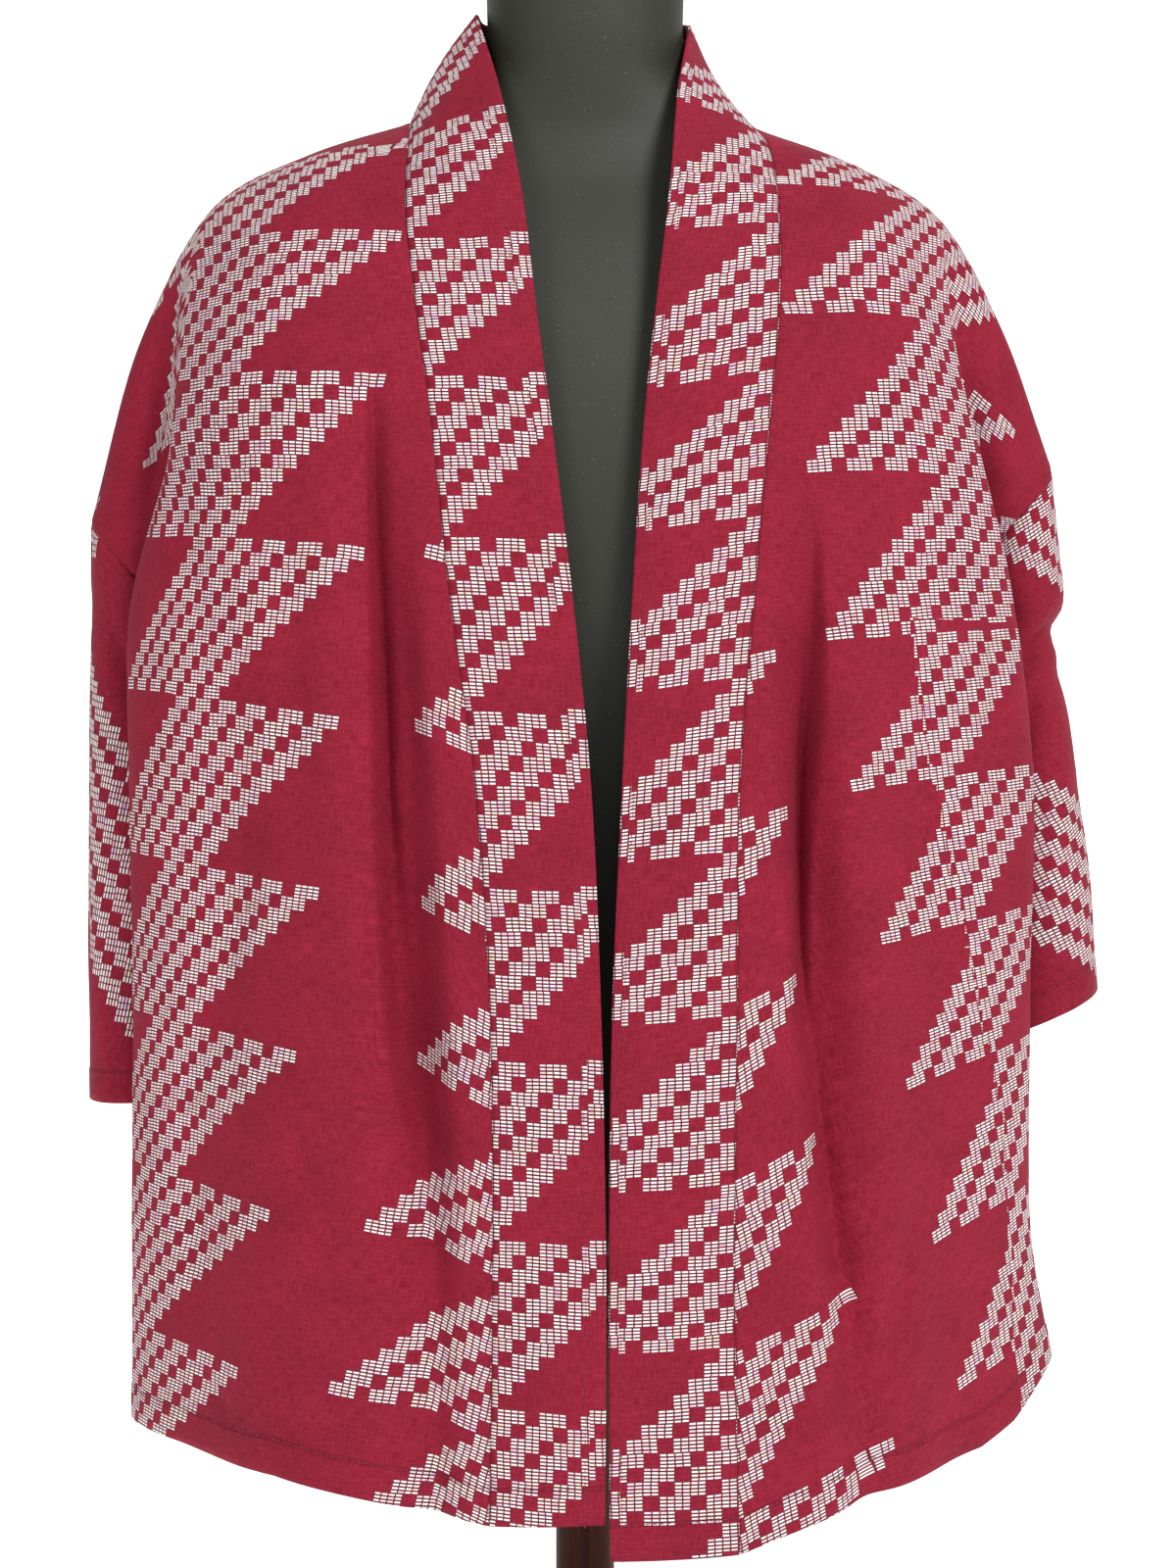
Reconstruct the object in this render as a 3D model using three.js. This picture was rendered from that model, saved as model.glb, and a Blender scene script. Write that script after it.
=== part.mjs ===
// Haori jacket worn on a limbless dress form that stands on a pole and a round base.
// Millimetres, +Z up. The front faces -Y and the wearer's left is at +X.
// The origin is the centre of the base, on the surface that it stands on. The tables of
// the jacket and the form count their heights from RISE above that surface.
//
// The jacket is cut as a maker cuts it: a back with dropped shoulders, two open fronts,
// a neckband in two halves joined at the centre back, and two sleeves sewn on below
// the shoulders. Every panel is a grid of points on the middle of its cloth, run
// through a few guide rows, and a wall of real thickness is built on that grid.

import * as THREE from "three";

// ---------------------------------------------------------------- driving dimensions

const CLOTH = 1.6;
const BAND_CLOTH = 2.4; // the neckband is folded double
const SEAM_GAP = 0.6; // clear space between two pieces along their seam
const UNDERARM_GAP = 1.1; // where the sleeve, front and back meet and turn sharply
const STEPS_DOWN = 2; // grid rows from one guide row to the next
const UNDERARM_ROW = 5; // guide row where the sleeve seam ends and the side seam starts
const RISE = 80;

const RIGHT = -1; // the wearer's right side
const LEFT = 1; // the wearer's left side

// Grid columns from the centre back to the neck corner, and from one guide column to the
// next beyond it.
const NECK_STEPS = 6;
const PANEL_STEPS = [8, 6, 3, 3];
const TURN_COLUMN = PANEL_STEPS[0] + PANEL_STEPS[1];

/** Rows of a table as objects that are read by column name. */
function table(columns, rows) {
  return rows.map((row) => Object.fromEntries(row.map((value, k) => [columns[k], value])));
}

// Guide rows of the fronts from the shoulder line to the hem, each point [out, y, z]:
// seam is the edge sewn to the neckband, mid the middle of the chest, turn the fold
// where the front rounds to the side, dip the hollow behind it, and edge the sleeve
// seam down to the underarm and the side seam below it.
const FRONT_COLUMNS = ["seam", "mid", "turn", "dip", "edge"];
const FRONT_GUIDES = {
  [RIGHT]: table(FRONT_COLUMNS, [
    [[95, 5, 826], [150, 2, 808], [203, 2, 780], [242, 6, 711], [273, 12, 606]],
    [[94, -45, 800], [150, -42, 788], [205, -28, 759], [240, -16, 701], [271, -4, 603]],
    [[92, -88, 752], [152, -86, 745], [209, -46, 722], [231, -26, 680], [267, -16, 597]],
    [[85, -110, 700], [152, -106, 696], [213, -54, 682], [218, -30, 655], [258, -25, 588]],
    [[76.5, -120, 640], [155, -112, 637], [220, -54, 628], [213, -28, 612], [243, -25, 572]],
    [[68, -124, 560], [155, -112, 558], [240, -48, 555], [220, -22, 550], [214, 10, 545]],
    [[54.5, -128, 460], [152, -110, 460], [242, -44, 460], [211, -8, 460], [204, 20, 460]],
    [[47, -131, 350], [150, -112, 350], [241, -40, 350], [212, -4, 350], [206, 22, 350]],
    [[45.5, -134, 220], [150, -114, 220], [243, -32, 220], [229, 0, 220], [218, 28, 220]],
    [[47, -137, 96], [152, -116, 115], [244, -24, 118], [240, 6, 117], [230, 34, 113]],
  ]),
  [LEFT]: table(FRONT_COLUMNS, [
    [[89, 4, 824], [146, 2, 802], [193, 2, 774], [228, 6, 716], [257, 12, 636]],
    [[98, -45, 798], [148, -42, 785], [195, -28, 755], [225, -16, 706], [256, -4, 632]],
    [[100, -86, 750], [149, -85, 744], [193, -46, 722], [215, -26, 685], [253, -16, 624]],
    [[98, -108, 698], [149, -105, 695], [198, -54, 681], [205, -31, 660], [243, -26, 613]],
    [[92, -119, 638], [150, -111, 636], [212, -54, 627], [204, -29, 618], [228, -26, 597]],
    [[85, -123, 560], [150, -112, 558], [226, -48, 558], [211, -22, 556], [206, 10, 556]],
    [[77, -127, 460], [150, -110, 460], [238, -44, 460], [206, -8, 460], [197, 20, 460]],
    [[75.5, -130, 350], [150, -112, 350], [237, -40, 350], [209, -4, 350], [201, 22, 350]],
    [[74, -133, 215], [151, -113, 217], [239, -32, 220], [226, 0, 222], [215, 28, 222]],
    [[76, -137, 82], [152, -110, 103], [251, -24, 150], [247, 6, 140], [233, 34, 122]],
  ]),
};

// Guide rows of one half of the back below the shoulder line: spine is the centre back
// and blade the shoulder blade; turn, dip and edge are as on the fronts. Below the
// underarm the edge is the front's own side seam.
const BACK_COLUMNS = ["spine", "blade", "mid", "turn", "dip", "edge"];
const BACK_GUIDES = table(BACK_COLUMNS, [
  [[0, 96, 805], [95, 50, 806], [150, 46, 790], [202, 32, 758], [238, 28, 700], [271, 30, 603]],
  [[0, 108, 755], [92, 92, 752], [150, 84, 745], [206, 52, 722], [233, 44, 680], [267, 52, 597]],
  [[0, 116, 700], [92, 112, 698], [152, 106, 694], [212, 78, 682], [223, 64, 655], [259, 76, 588]],
  [[0, 120, 640], [92, 118, 638], [155, 114, 636], [216, 98, 628], [216, 82, 612], [244, 94, 573]],
  [[0, 122, 560], [92, 121, 560], [155, 118, 558], [224, 112, 555], [216, 76, 551]],
  [[0, 124, 460], [92, 123, 460], [155, 121, 460], [230, 112, 460], [208, 70, 460]],
  [[0, 127, 350], [92, 126, 350], [156, 124, 350], [234, 114, 350], [212, 72, 350]],
  [[0, 130, 220], [93, 130, 220], [158, 128, 220], [238, 116, 220], [230, 76, 220]],
  [[0, 134, 110], [94, 134, 110], [160, 131, 110], [242, 118, 109], [242, 80, 108]],
]);

// Height of the front hem from the neckband to the turn, which is not level as worn.
const HEM = {
  [RIGHT]: [
    { out: 47, z: 96 }, { out: 100, z: 105 }, { out: 155, z: 114 }, { out: 200, z: 115 },
    { out: 244, z: 118 },
  ],
  [LEFT]: [
    { out: 76, z: 82 }, { out: 116, z: 94 }, { out: 146, z: 103 }, { out: 181, z: 110 },
    { out: 208, z: 115 }, { out: 226, z: 125 }, { out: 242, z: 141 }, { out: 251, z: 150 },
  ],
};

// The back hangs closer to the body on the wearer's left, and its sleeve seam is higher.
const LEFT_INSET = { by: 9, from: 150, to: 240 }; // grows from one distance out to the other
const LEFT_SLEEVE_EDGE = { inset: 15, lift: 26 };

// Neckband, from the centre back round the neck, then row by row down the front.
const NAPE_GUIDES = [
  { seam: [0, 88, 840], free: [0, 74, 900] },
  { seam: [55, 74, 838], free: [40, 62, 897] },
  { seam: [84, 42, 832], free: [57, 32, 888] },
];
const BAND_FREE_EDGE = {
  [RIGHT]: [
    [60, -2, 882], [46, -58, 826], [33, -95, 762], [26, -112, 705], [18, -120, 644],
    [8, -126, 562], [-2, -130, 461], [-7, -134, 350], [-9.5, -138, 219], [-9, -141, 98],
  ],
  [LEFT]: [
    [58, -2, 874], [50, -58, 826], [44, -93, 762], [37, -110, 704], [30.5, -119, 642],
    [25, -125, 562], [19.5, -129, 461], [14.6, -133, 350], [12.8, -137, 216], [13.5, -141, 80],
  ],
};
const BAND_STEPS = 4;
const BAND_BULGE = 2.5; // the folded band stands off the line between its two edges
const SHOULDER_BULGE = { [RIGHT]: 4, [LEFT]: -2.5 }; // where it passes the shoulder line
const SHOULDER_BULGE_ROWS = 5; // grid rows before and after that over which it returns

// Sleeve sections below the seam: z is the mean height, and tilt lifts the outer side.
const SLEEVE_SECTIONS = {
  [RIGHT]: [
    { z: 545, tilt: 17, inner: 222, outer: 275, front: -24, back: 102 },
    { z: 500, tilt: 6, inner: 222, outer: 276, front: -24, back: 104 },
    { z: 430, tilt: 0, inner: 221, outer: 277, front: -24, back: 106 },
    { z: 357, tilt: 0, inner: 223, outer: 277, front: -23, back: 107 },
    { z: 287, tilt: 0, inner: 226, outer: 276, front: -20, back: 108 },
  ],
  [LEFT]: [
    { z: 558, tilt: 22, inner: 216, outer: 265, front: -24, back: 100 },
    { z: 540, tilt: 13, inner: 217, outer: 266, front: -24, back: 101 },
    { z: 524, tilt: 10, inner: 217, outer: 262, front: -23, back: 102 },
    { z: 488, tilt: 8, inner: 217, outer: 270, front: -24, back: 103 },
    { z: 410, tilt: 7, inner: 218, outer: 281, front: -24, back: 106 },
    { z: 333, tilt: 15, inner: 220, outer: 286, front: -23, back: 108 },
  ],
};
const SLEEVE_SQUARENESS = 2.5; // power of the superellipse of a section

// Main folds, lines in the front view from top [x, z] to foot [x, z]. Each sinks its
// panel by depth in its upper half and by footDepth at the foot, and fades out across width.
const FOLDS = [
  { panel: "front_right", top: [-103, 665], foot: [-73, 90], width: 14, depth: 16, footDepth: 7 },
  { panel: "front_right", top: [-178, 560], foot: [-205, 110], width: 24, depth: 5, footDepth: 5 },
  { panel: "front_left", top: [98, 625], foot: [143, 95], width: 13, depth: 16, footDepth: 6 },
  { panel: "front_left", top: [160, 560], foot: [196, 110], width: 22, depth: 4, footDepth: 4 },
  { panel: "back", top: [-168, 690], foot: [-190, 108], width: 24, depth: 7, footDepth: 7 },
  { panel: "back", top: [-88, 660], foot: [-104, 108], width: 22, depth: 6, footDepth: 8 },
  { panel: "back", top: [-14, 620], foot: [-20, 108], width: 26, depth: 5, footDepth: 6 },
  { panel: "back", top: [66, 680], foot: [70, 108], width: 22, depth: 7, footDepth: 8 },
  { panel: "back", top: [150, 650], foot: [168, 108], width: 24, depth: 6, footDepth: 6 },
];
const FOLD_RISE = 0.3; // share of a fold's length over which it grows to full depth
const FOLD_EASE = 0.5; // share of its length after which it changes to the foot's depth
const SEAM_CALM = 0.14; // share of a panel's width next to a seam where folds fade

// Dress form, from the flat underside to the top of the neck.
const FORM_SECTIONS = [
  { z: 217, wide: 132, front: 80, back: 74 },
  { z: 220, wide: 141, front: 88, back: 82 },
  { z: 228, wide: 147, front: 94, back: 88 },
  { z: 244, wide: 149, front: 97, back: 91 },
  { z: 300, wide: 148, front: 98, back: 92 },
  { z: 350, wide: 140, front: 95, back: 88 },
  { z: 400, wide: 130, front: 90, back: 82 },
  { z: 450, wide: 130, front: 92, back: 82 },
  { z: 500, wide: 140, front: 99, back: 88 },
  { z: 550, wide: 152, front: 106, back: 95 },
  { z: 600, wide: 162, front: 108, back: 100 },
  { z: 650, wide: 168, front: 104, back: 101 },
  { z: 700, wide: 173, front: 92, back: 94 },
  { z: 740, wide: 176, front: 74, back: 78 },
  { z: 762, wide: 172, front: 62, back: 66 },
  { z: 780, wide: 154, front: 52, back: 58 },
  { z: 796, wide: 125, front: 46, back: 54 },
  { z: 810, wide: 98, front: 43, back: 53 },
  { z: 824, wide: 76, front: 43, back: 54 },
  { z: 842, wide: 58, front: 45, back: 56 },
  { z: 862, wide: 54, front: 48, back: 58 },
  { z: 912, wide: 54, front: 49, back: 59 },
  { z: 924, wide: 50, front: 45, back: 55 },
  { z: 930, wide: 40, front: 36, back: 44 },
];
const TORSO_SQUARENESS = 2.3; // power of the superellipse of a section
const NECK_SQUARENESS = 2; // a plain ellipse
const NECK_FROM = 780;
const FORM_SIDES = 36;
const FORM_BOTTOM = FORM_SECTIONS[0].z;
const ARMPIT_HEIGHT = 650;

// Stand.
const TOUCH_GAP = 0.3;
const BASE = { radius: 150, thick: 15, edge: 4, bossRadius: 30, bossHeight: 34 };
const POLE_RADIUS = 16;
const STAND_SIDES = 36;

// ---------------------------------------------------------------------- materials

const crimsonCloth = () => new THREE.MeshStandardMaterial({ color: 0x97263a, roughness: 0.82, metalness: 0 });
const formSkin = new THREE.MeshStandardMaterial({ color: 0x2e2c28, roughness: 0.5, metalness: 0 });
const wood = new THREE.MeshStandardMaterial({ color: 0x4a2417, roughness: 0.45, metalness: 0 });
const darkSteel = new THREE.MeshStandardMaterial({ color: 0x1f1f20, roughness: 0.4, metalness: 0.8 });

// --------------------------------------------------------------- splines and grids

const at = (side, [out, y, z]) => new THREE.Vector3(side * out, y, z);

/** One guide row of a panel as a line of grid points across it. */
function acrossPanel(side, row) {
  return splinePoints(FRONT_COLUMNS.map((name) => at(side, row[name])), PANEL_STEPS);
}

/** Points on a spline through guides, with counts[k] steps from guide k to the next. */
function splinePoints(guides, counts) {
  const curve = new THREE.CatmullRomCurve3(guides);
  const spans = guides.length - 1;
  const points = [curve.getPoint(0)];
  counts.forEach((count, span) => {
    for (let step = 1; step <= count; step += 1) {
      points.push(curve.getPoint((span + step / count) / spans));
    }
  });
  return points;
}

const evenSteps = (guides) => new Array(guides.length - 1).fill(STEPS_DOWN);

/** Grid through guide rows, whose columns are run from top to bottom. */
function gridThrough(rows) {
  const columns = rows[0].map((_, j) => {
    const guides = rows.map((row) => row[j]);
    return splinePoints(guides, evenSteps(guides));
  });
  return columns[0].map((_, i) => columns.map((column) => column[i]));
}

/** The outer edge of a panel turns a corner at the underarm. */
function edgeLine(guides) {
  const sleeveSeam = guides.slice(0, UNDERARM_ROW + 1);
  const sideSeam = guides.slice(UNDERARM_ROW);
  return [
    ...splinePoints(sleeveSeam, evenSteps(sleeveSeam)),
    ...splinePoints(sideSeam, evenSteps(sideSeam)).slice(1),
  ];
}

/** Edge sewn to the panels, from the centre back to the hem. */
function bandSeamLine(side) {
  const nape = NAPE_GUIDES.map((row) => at(side, row.seam));
  const front = FRONT_GUIDES[side].map((row) => at(side, row.seam));
  const guides = [...nape, ...front];
  return splinePoints(guides, evenSteps(guides));
}

/** Height of the front hem at a distance out from the centre. */
function hemHeight(side, out) {
  const hem = HEM[side];
  const last = hem.length - 2;
  const after = hem.findIndex((entry) => entry.out > out);
  const k = after < 0 ? last : Math.max(after - 1, 0);
  return THREE.MathUtils.mapLinear(out, hem[k].out, hem[k + 1].out, hem[k].z, hem[k + 1].z);
}

function frontGrid(side) {
  const guides = FRONT_GUIDES[side];
  const rows = guides.map((row) => acrossPanel(side, row));
  rows[rows.length - 1].slice(0, TURN_COLUMN + 1).forEach((point) => {
    point.z = hemHeight(side, side * point.x);
  });
  const grid = gridThrough(rows);
  const seam = bandSeamLine(side).slice(NAPE_GUIDES.length * STEPS_DOWN);
  const edge = edgeLine(guides.map((row) => at(side, row.edge)));
  grid.forEach((row, i) => {
    row[0] = seam[i];
    row[row.length - 1] = edge[i];
  });
  return grid;
}

/** A point of the back, drawn in on the wearer's left. */
function backPoint(side, [out, y, z]) {
  const { by, from, to } = LEFT_INSET;
  const inset = side === LEFT ? by * THREE.MathUtils.smoothstep(out, from, to) : 0;
  return at(side, [out - inset, y, z]);
}

/** A point of the back's sleeve seam. */
function sleeveEdgePoint(side, [out, y, z]) {
  const { inset, lift } = side === LEFT ? LEFT_SLEEVE_EDGE : { inset: 0, lift: 0 };
  return at(side, [out - inset, y, z + lift]);
}

/** Guide rows of one half of the back, from the centre outward. */
function backHalf(side) {
  const front = FRONT_GUIDES[side];
  const neckline = bandSeamLine(side).slice(0, NAPE_GUIDES.length * STEPS_DOWN + 1);
  const top = front[0];
  const shoulder = acrossPanel(side, top);
  const edges = [at(side, top.edge)];
  const rows = BACK_GUIDES.map((row, index) => {
    const sewn = index + 1 >= UNDERARM_ROW;
    const edge = sewn ? at(side, front[index + 1].edge) : sleeveEdgePoint(side, row.edge);
    edges.push(edge);
    const spine = at(side, row.spine);
    const inner = [row.blade, row.mid, row.turn, row.dip].map((point) => backPoint(side, point));
    const mirrored = inner[0].clone().setX(-inner[0].x);
    return splinePoints([mirrored, spine, ...inner, edge], [1, NECK_STEPS, ...PANEL_STEPS]).slice(1);
  });
  return { rows: [[...neckline, ...shoulder.slice(1)], ...rows], edge: edgeLine(edges) };
}

function backGrid() {
  const halves = [backHalf(RIGHT), backHalf(LEFT)];
  const rows = halves[0].rows.map((row, i) => [...row.slice(1).reverse(), ...halves[1].rows[i]]);
  const grid = gridThrough(rows);
  grid.forEach((row, i) => {
    row[0] = halves[0].edge[i];
    row[row.length - 1] = halves[1].edge[i];
  });
  return grid;
}

/** Neckband half: rows run from the centre back to the hem, columns to the free edge. */
function bandGrid(side) {
  const seam = bandSeamLine(side);
  const guides = [
    ...NAPE_GUIDES.map((row) => at(side, row.free)),
    ...BAND_FREE_EDGE[side].map((point) => at(side, point)),
  ];
  const free = splinePoints(guides, evenSteps(guides));
  const neckAxis = new THREE.Vector3();
  const shoulderRow = NAPE_GUIDES.length * STEPS_DOWN;
  return seam.map((start, i) => {
    const row = [];
    const away = THREE.MathUtils.smoothstep(Math.abs(i - shoulderRow), 0, SHOULDER_BULGE_ROWS);
    const bulge = THREE.MathUtils.lerp(SHOULDER_BULGE[side], BAND_BULGE, away);
    for (let step = 0; step <= BAND_STEPS; step += 1) {
      const across = step / BAND_STEPS;
      const point = start.clone().lerp(free[i], across);
      const outward = point.clone().sub(neckAxis.setZ(point.z)).normalize();
      point.addScaledVector(outward, bulge * Math.sin(Math.PI * across));
      row.push(point);
    }
    return row;
  });
}

/** Closed ring of the sleeve seam: down the front to the underarm and up the back. */
function sleeveSeam(side, front, back) {
  const last = UNDERARM_ROW * STEPS_DOWN;
  const frontEdge = front.map((row) => row[row.length - 1]).slice(0, last + 1);
  const backEdge = back.map((row) => (side === RIGHT ? row[0] : row[row.length - 1])).slice(1, last);
  return [...frontEdge, ...backEdge.reverse()];
}

/** Sleeve tube: every seam point runs down at its own angle round the sleeve. */
function sleeveGrid(side, seam) {
  const sections = SLEEVE_SECTIONS[side];
  const shape = sections.map((row) => ({
    ...row,
    middle: (row.inner + row.outer) / 2,
    halfWide: (row.outer - row.inner) / 2,
    centre: (row.front + row.back) / 2,
    halfDeep: (row.back - row.front) / 2,
  }));
  const columns = seam.map((point) => {
    const across = (side * point.x - shape[0].middle) / shape[0].halfWide;
    const along = (point.y - shape[0].centre) / shape[0].halfDeep;
    const length = Math.hypot(across, along);
    const cos = across / length;
    const sin = along / length;
    const power = SLEEVE_SQUARENESS;
    const reach = (Math.abs(cos) ** power + Math.abs(sin) ** power) ** (-1 / power);
    const guides = shape.map((row) => at(side, [
      row.middle + row.halfWide * reach * cos,
      row.centre + row.halfDeep * reach * sin,
      row.z + row.tilt * cos * reach,
    ]));
    const line = [point, ...guides];
    return splinePoints(line, evenSteps(line));
  });
  return columns[0].map((_, i) => columns.map((column) => column[i]));
}

// ------------------------------------------------------------------ folds and walls

/** Every panel: its grid, and which of its four borders are sewn. */
function makePanels() {
  const front = { [RIGHT]: frontGrid(RIGHT), [LEFT]: frontGrid(LEFT) };
  const back = backGrid();
  const sewnBody = { top: true, start: true, end: true };
  const sewnBand = { top: true, start: true };
  const body = { inside: (point) => new THREE.Vector3(0, 0, Math.min(point.z, ARMPIT_HEIGHT)) };
  const sleeve = (side) => {
    const grid = sleeveGrid(side, sleeveSeam(side, front[side], back));
    const { inner, outer, front: nearY, back: farY } = SLEEVE_SECTIONS[side][2];
    const centre = at(side, [(inner + outer) / 2, (nearY + farY) / 2, 0]);
    return { grid, thick: CLOTH, sewn: { top: true }, round: true, inside: (p) => centre.clone().setZ(p.z) };
  };
  return {
    front_right: { grid: front[RIGHT], thick: CLOTH, sewn: sewnBody, ...body },
    front_left: { grid: front[LEFT], thick: CLOTH, sewn: sewnBody, ...body },
    back: { grid: back, thick: CLOTH, sewn: sewnBody, ...body },
    neckband_right: { grid: bandGrid(RIGHT), thick: BAND_CLOTH, sewn: sewnBand, ...body },
    neckband_left: { grid: bandGrid(LEFT), thick: BAND_CLOTH, sewn: sewnBand, ...body },
    sleeve_right: sleeve(RIGHT),
    sleeve_left: sleeve(LEFT),
  };
}

/** Neighbouring grid columns, which go on round the tube on a closed panel. */
function columnPairs(panel) {
  const count = panel.grid[0].length;
  const pairs = [];
  for (let j = 0; j < (panel.round ? count : count - 1); j += 1) {
    pairs.push([j, (j + 1) % count]);
  }
  return pairs;
}

const keyOf = (point) => [point.x, point.y, point.z].map((value) => value.toFixed(3)).join();

/**
 * Outward normals shared by all panels that meet at a point, so seams are mitred.
 * A sleeve weighs as much as the other panels together.
 */
function sharedNormals(panels) {
  const sums = new Map();
  for (const panel of Object.values(panels)) {
    const faces = [];
    let outward = 0;
    for (let i = 0; i + 1 < panel.grid.length; i += 1) {
      const [row, below] = [panel.grid[i], panel.grid[i + 1]];
      for (const [j, next] of columnPairs(panel)) {
        const corners = [row[j], row[next], below[next], below[j]];
        const normal = new THREE.Vector3().crossVectors(
          corners[2].clone().sub(corners[0]), corners[3].clone().sub(corners[1]));
        outward += normal.dot(corners[0].clone().sub(panel.inside(corners[0])));
        faces.push({ corners, normal: normal.normalize() });
      }
    }
    const sign = Math.sign(outward);
    for (const { corners, normal } of faces) {
      for (const corner of corners) {
        const key = keyOf(corner);
        if (!sums.has(key)) {
          sums.set(key, { body: new THREE.Vector3(), sleeve: new THREE.Vector3() });
        }
        sums.get(key)[panel.round ? "sleeve" : "body"].addScaledVector(normal, sign);
      }
    }
  }
  return (point) => {
    const { body, sleeve } = sums.get(keyOf(point));
    return body.clone().normalize().add(sleeve.clone().normalize()).normalize();
  };
}

/** Sink the folds into the panels; they fade towards sewn borders. */
function foldPanels(panels) {
  const normalAt = sharedNormals(panels);
  for (const [name, panel] of Object.entries(panels)) {
    const folds = FOLDS.filter((fold) => fold.panel === name);
    const normals = panel.grid.map((row) => row.map(normalAt));
    const lastColumn = panel.grid[0].length - 1;
    panel.grid.forEach((row, i) => {
      row.forEach((point, j) => {
        const toSeam = Math.min(j, lastColumn - j) / lastColumn;
        const calm = THREE.MathUtils.smoothstep(toSeam, 0, SEAM_CALM);
        let depth = 0;
        for (const fold of folds) {
          const share = (fold.top[1] - point.z) / (fold.top[1] - fold.foot[1]);
          const line = THREE.MathUtils.lerp(fold.top[0], fold.foot[0], share);
          const across = (point.x - line) / fold.width;
          const eased = THREE.MathUtils.smoothstep(share, FOLD_EASE, 1);
          const deepest = THREE.MathUtils.lerp(fold.depth, fold.footDepth, eased);
          depth += deepest * THREE.MathUtils.smoothstep(share, 0, FOLD_RISE) * Math.exp(-across * across);
        }
        point.addScaledVector(normals[i][j], -depth * calm);
      });
    });
  }
}

/** Gap along a sewn border, wider next to the underarm. */
const gapAt = (index) => (Math.abs(index - UNDERARM_ROW * STEPS_DOWN) <= 1 ? UNDERARM_GAP : SEAM_GAP);

/** Step away from a sewn border, square to the seam and to the shared normal. */
function stepBack(point, neighbour, tangent, normal, gap) {
  const step = neighbour.clone().sub(point);
  const along = tangent.clone().addScaledVector(normal, -tangent.dot(normal)).normalize();
  step.addScaledVector(normal, -step.dot(normal));
  step.addScaledVector(along, -step.dot(along));
  return step.setLength(gap / 2);
}

/** Wall of even thickness on a panel's grid, with a gap along each sewn border. */
function wallGeometry(panel, normalAt) {
  const { grid, sewn, round } = panel;
  const rows = grid.length;
  const columns = grid[0].length;
  const column = (j) => (round ? (j + columns) % columns : THREE.MathUtils.clamp(j, 0, columns - 1));
  const outer = [];
  const inner = [];
  for (let i = 0; i < rows; i += 1) {
    for (let j = 0; j < columns; j += 1) {
      const point = grid[i][j];
      const normal = normalAt(point);
      const moved = point.clone();
      if (sewn.top && i === 0) {
        const tangent = grid[0][column(j + 1)].clone().sub(grid[0][column(j - 1)]);
        moved.add(stepBack(point, grid[1][j], tangent, normal, round ? gapAt(j) : SEAM_GAP));
      }
      const border = (sewn.start && j === 0) || (sewn.end && j === columns - 1);
      if (border) {
        const inward = j === 0 ? 1 : columns - 2;
        const above = grid[Math.max(i - 1, 0)][j];
        const below = grid[Math.min(i + 1, rows - 1)][j];
        const turns = i === UNDERARM_ROW * STEPS_DOWN ? [[above, point], [point, below]] : [[above, below]];
        for (const [from, to] of turns) {
          moved.add(stepBack(point, grid[i][inward], to.clone().sub(from), normal, gapAt(i)));
        }
      }
      outer.push(moved.clone().addScaledVector(normal, panel.thick / 2));
      inner.push(moved.clone().addScaledVector(normal, -panel.thick / 2));
    }
  }
  const positions = [...outer, ...inner].flatMap((point) => point.toArray());
  const innerStart = outer.length;
  const index = (i, j) => i * columns + j;
  const faces = [];
  const quad = (a, b, c, d) => faces.push(a, b, c, a, c, d);
  for (let i = 0; i + 1 < rows; i += 1) {
    for (const [j, next] of columnPairs(panel)) {
      const corners = [index(i, j), index(i + 1, j), index(i + 1, next), index(i, next)];
      quad(...corners);
      quad(...corners.map((corner) => corner + innerStart).reverse());
    }
  }
  const rim = (a, b) => quad(a, b, b + innerStart, a + innerStart);
  for (const [j, next] of columnPairs(panel)) {
    rim(index(0, j), index(0, next));
    rim(index(rows - 1, next), index(rows - 1, j));
  }
  if (!round) {
    for (let i = 0; i + 1 < rows; i += 1) {
      rim(index(i + 1, 0), index(i, 0));
      rim(index(i, columns - 1), index(i + 1, columns - 1));
    }
  }
  return solidGeometry(positions, faces);
}

/** Indexed geometry whose faces point out of the solid. */
function solidGeometry(positions, faces) {
  const corner = (index) => new THREE.Vector3().fromArray(positions, index * 3);
  let volume = 0;
  for (let k = 0; k < faces.length; k += 3) {
    volume += corner(faces[k]).dot(corner(faces[k + 1]).cross(corner(faces[k + 2])));
  }
  const geometry = new THREE.BufferGeometry();
  geometry.setAttribute("position", new THREE.Float32BufferAttribute(positions, 3));
  geometry.setIndex(volume < 0 ? faces.slice().reverse() : faces);
  geometry.computeVertexNormals();
  return geometry;
}

// ----------------------------------------------------------------- form and stand

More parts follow.
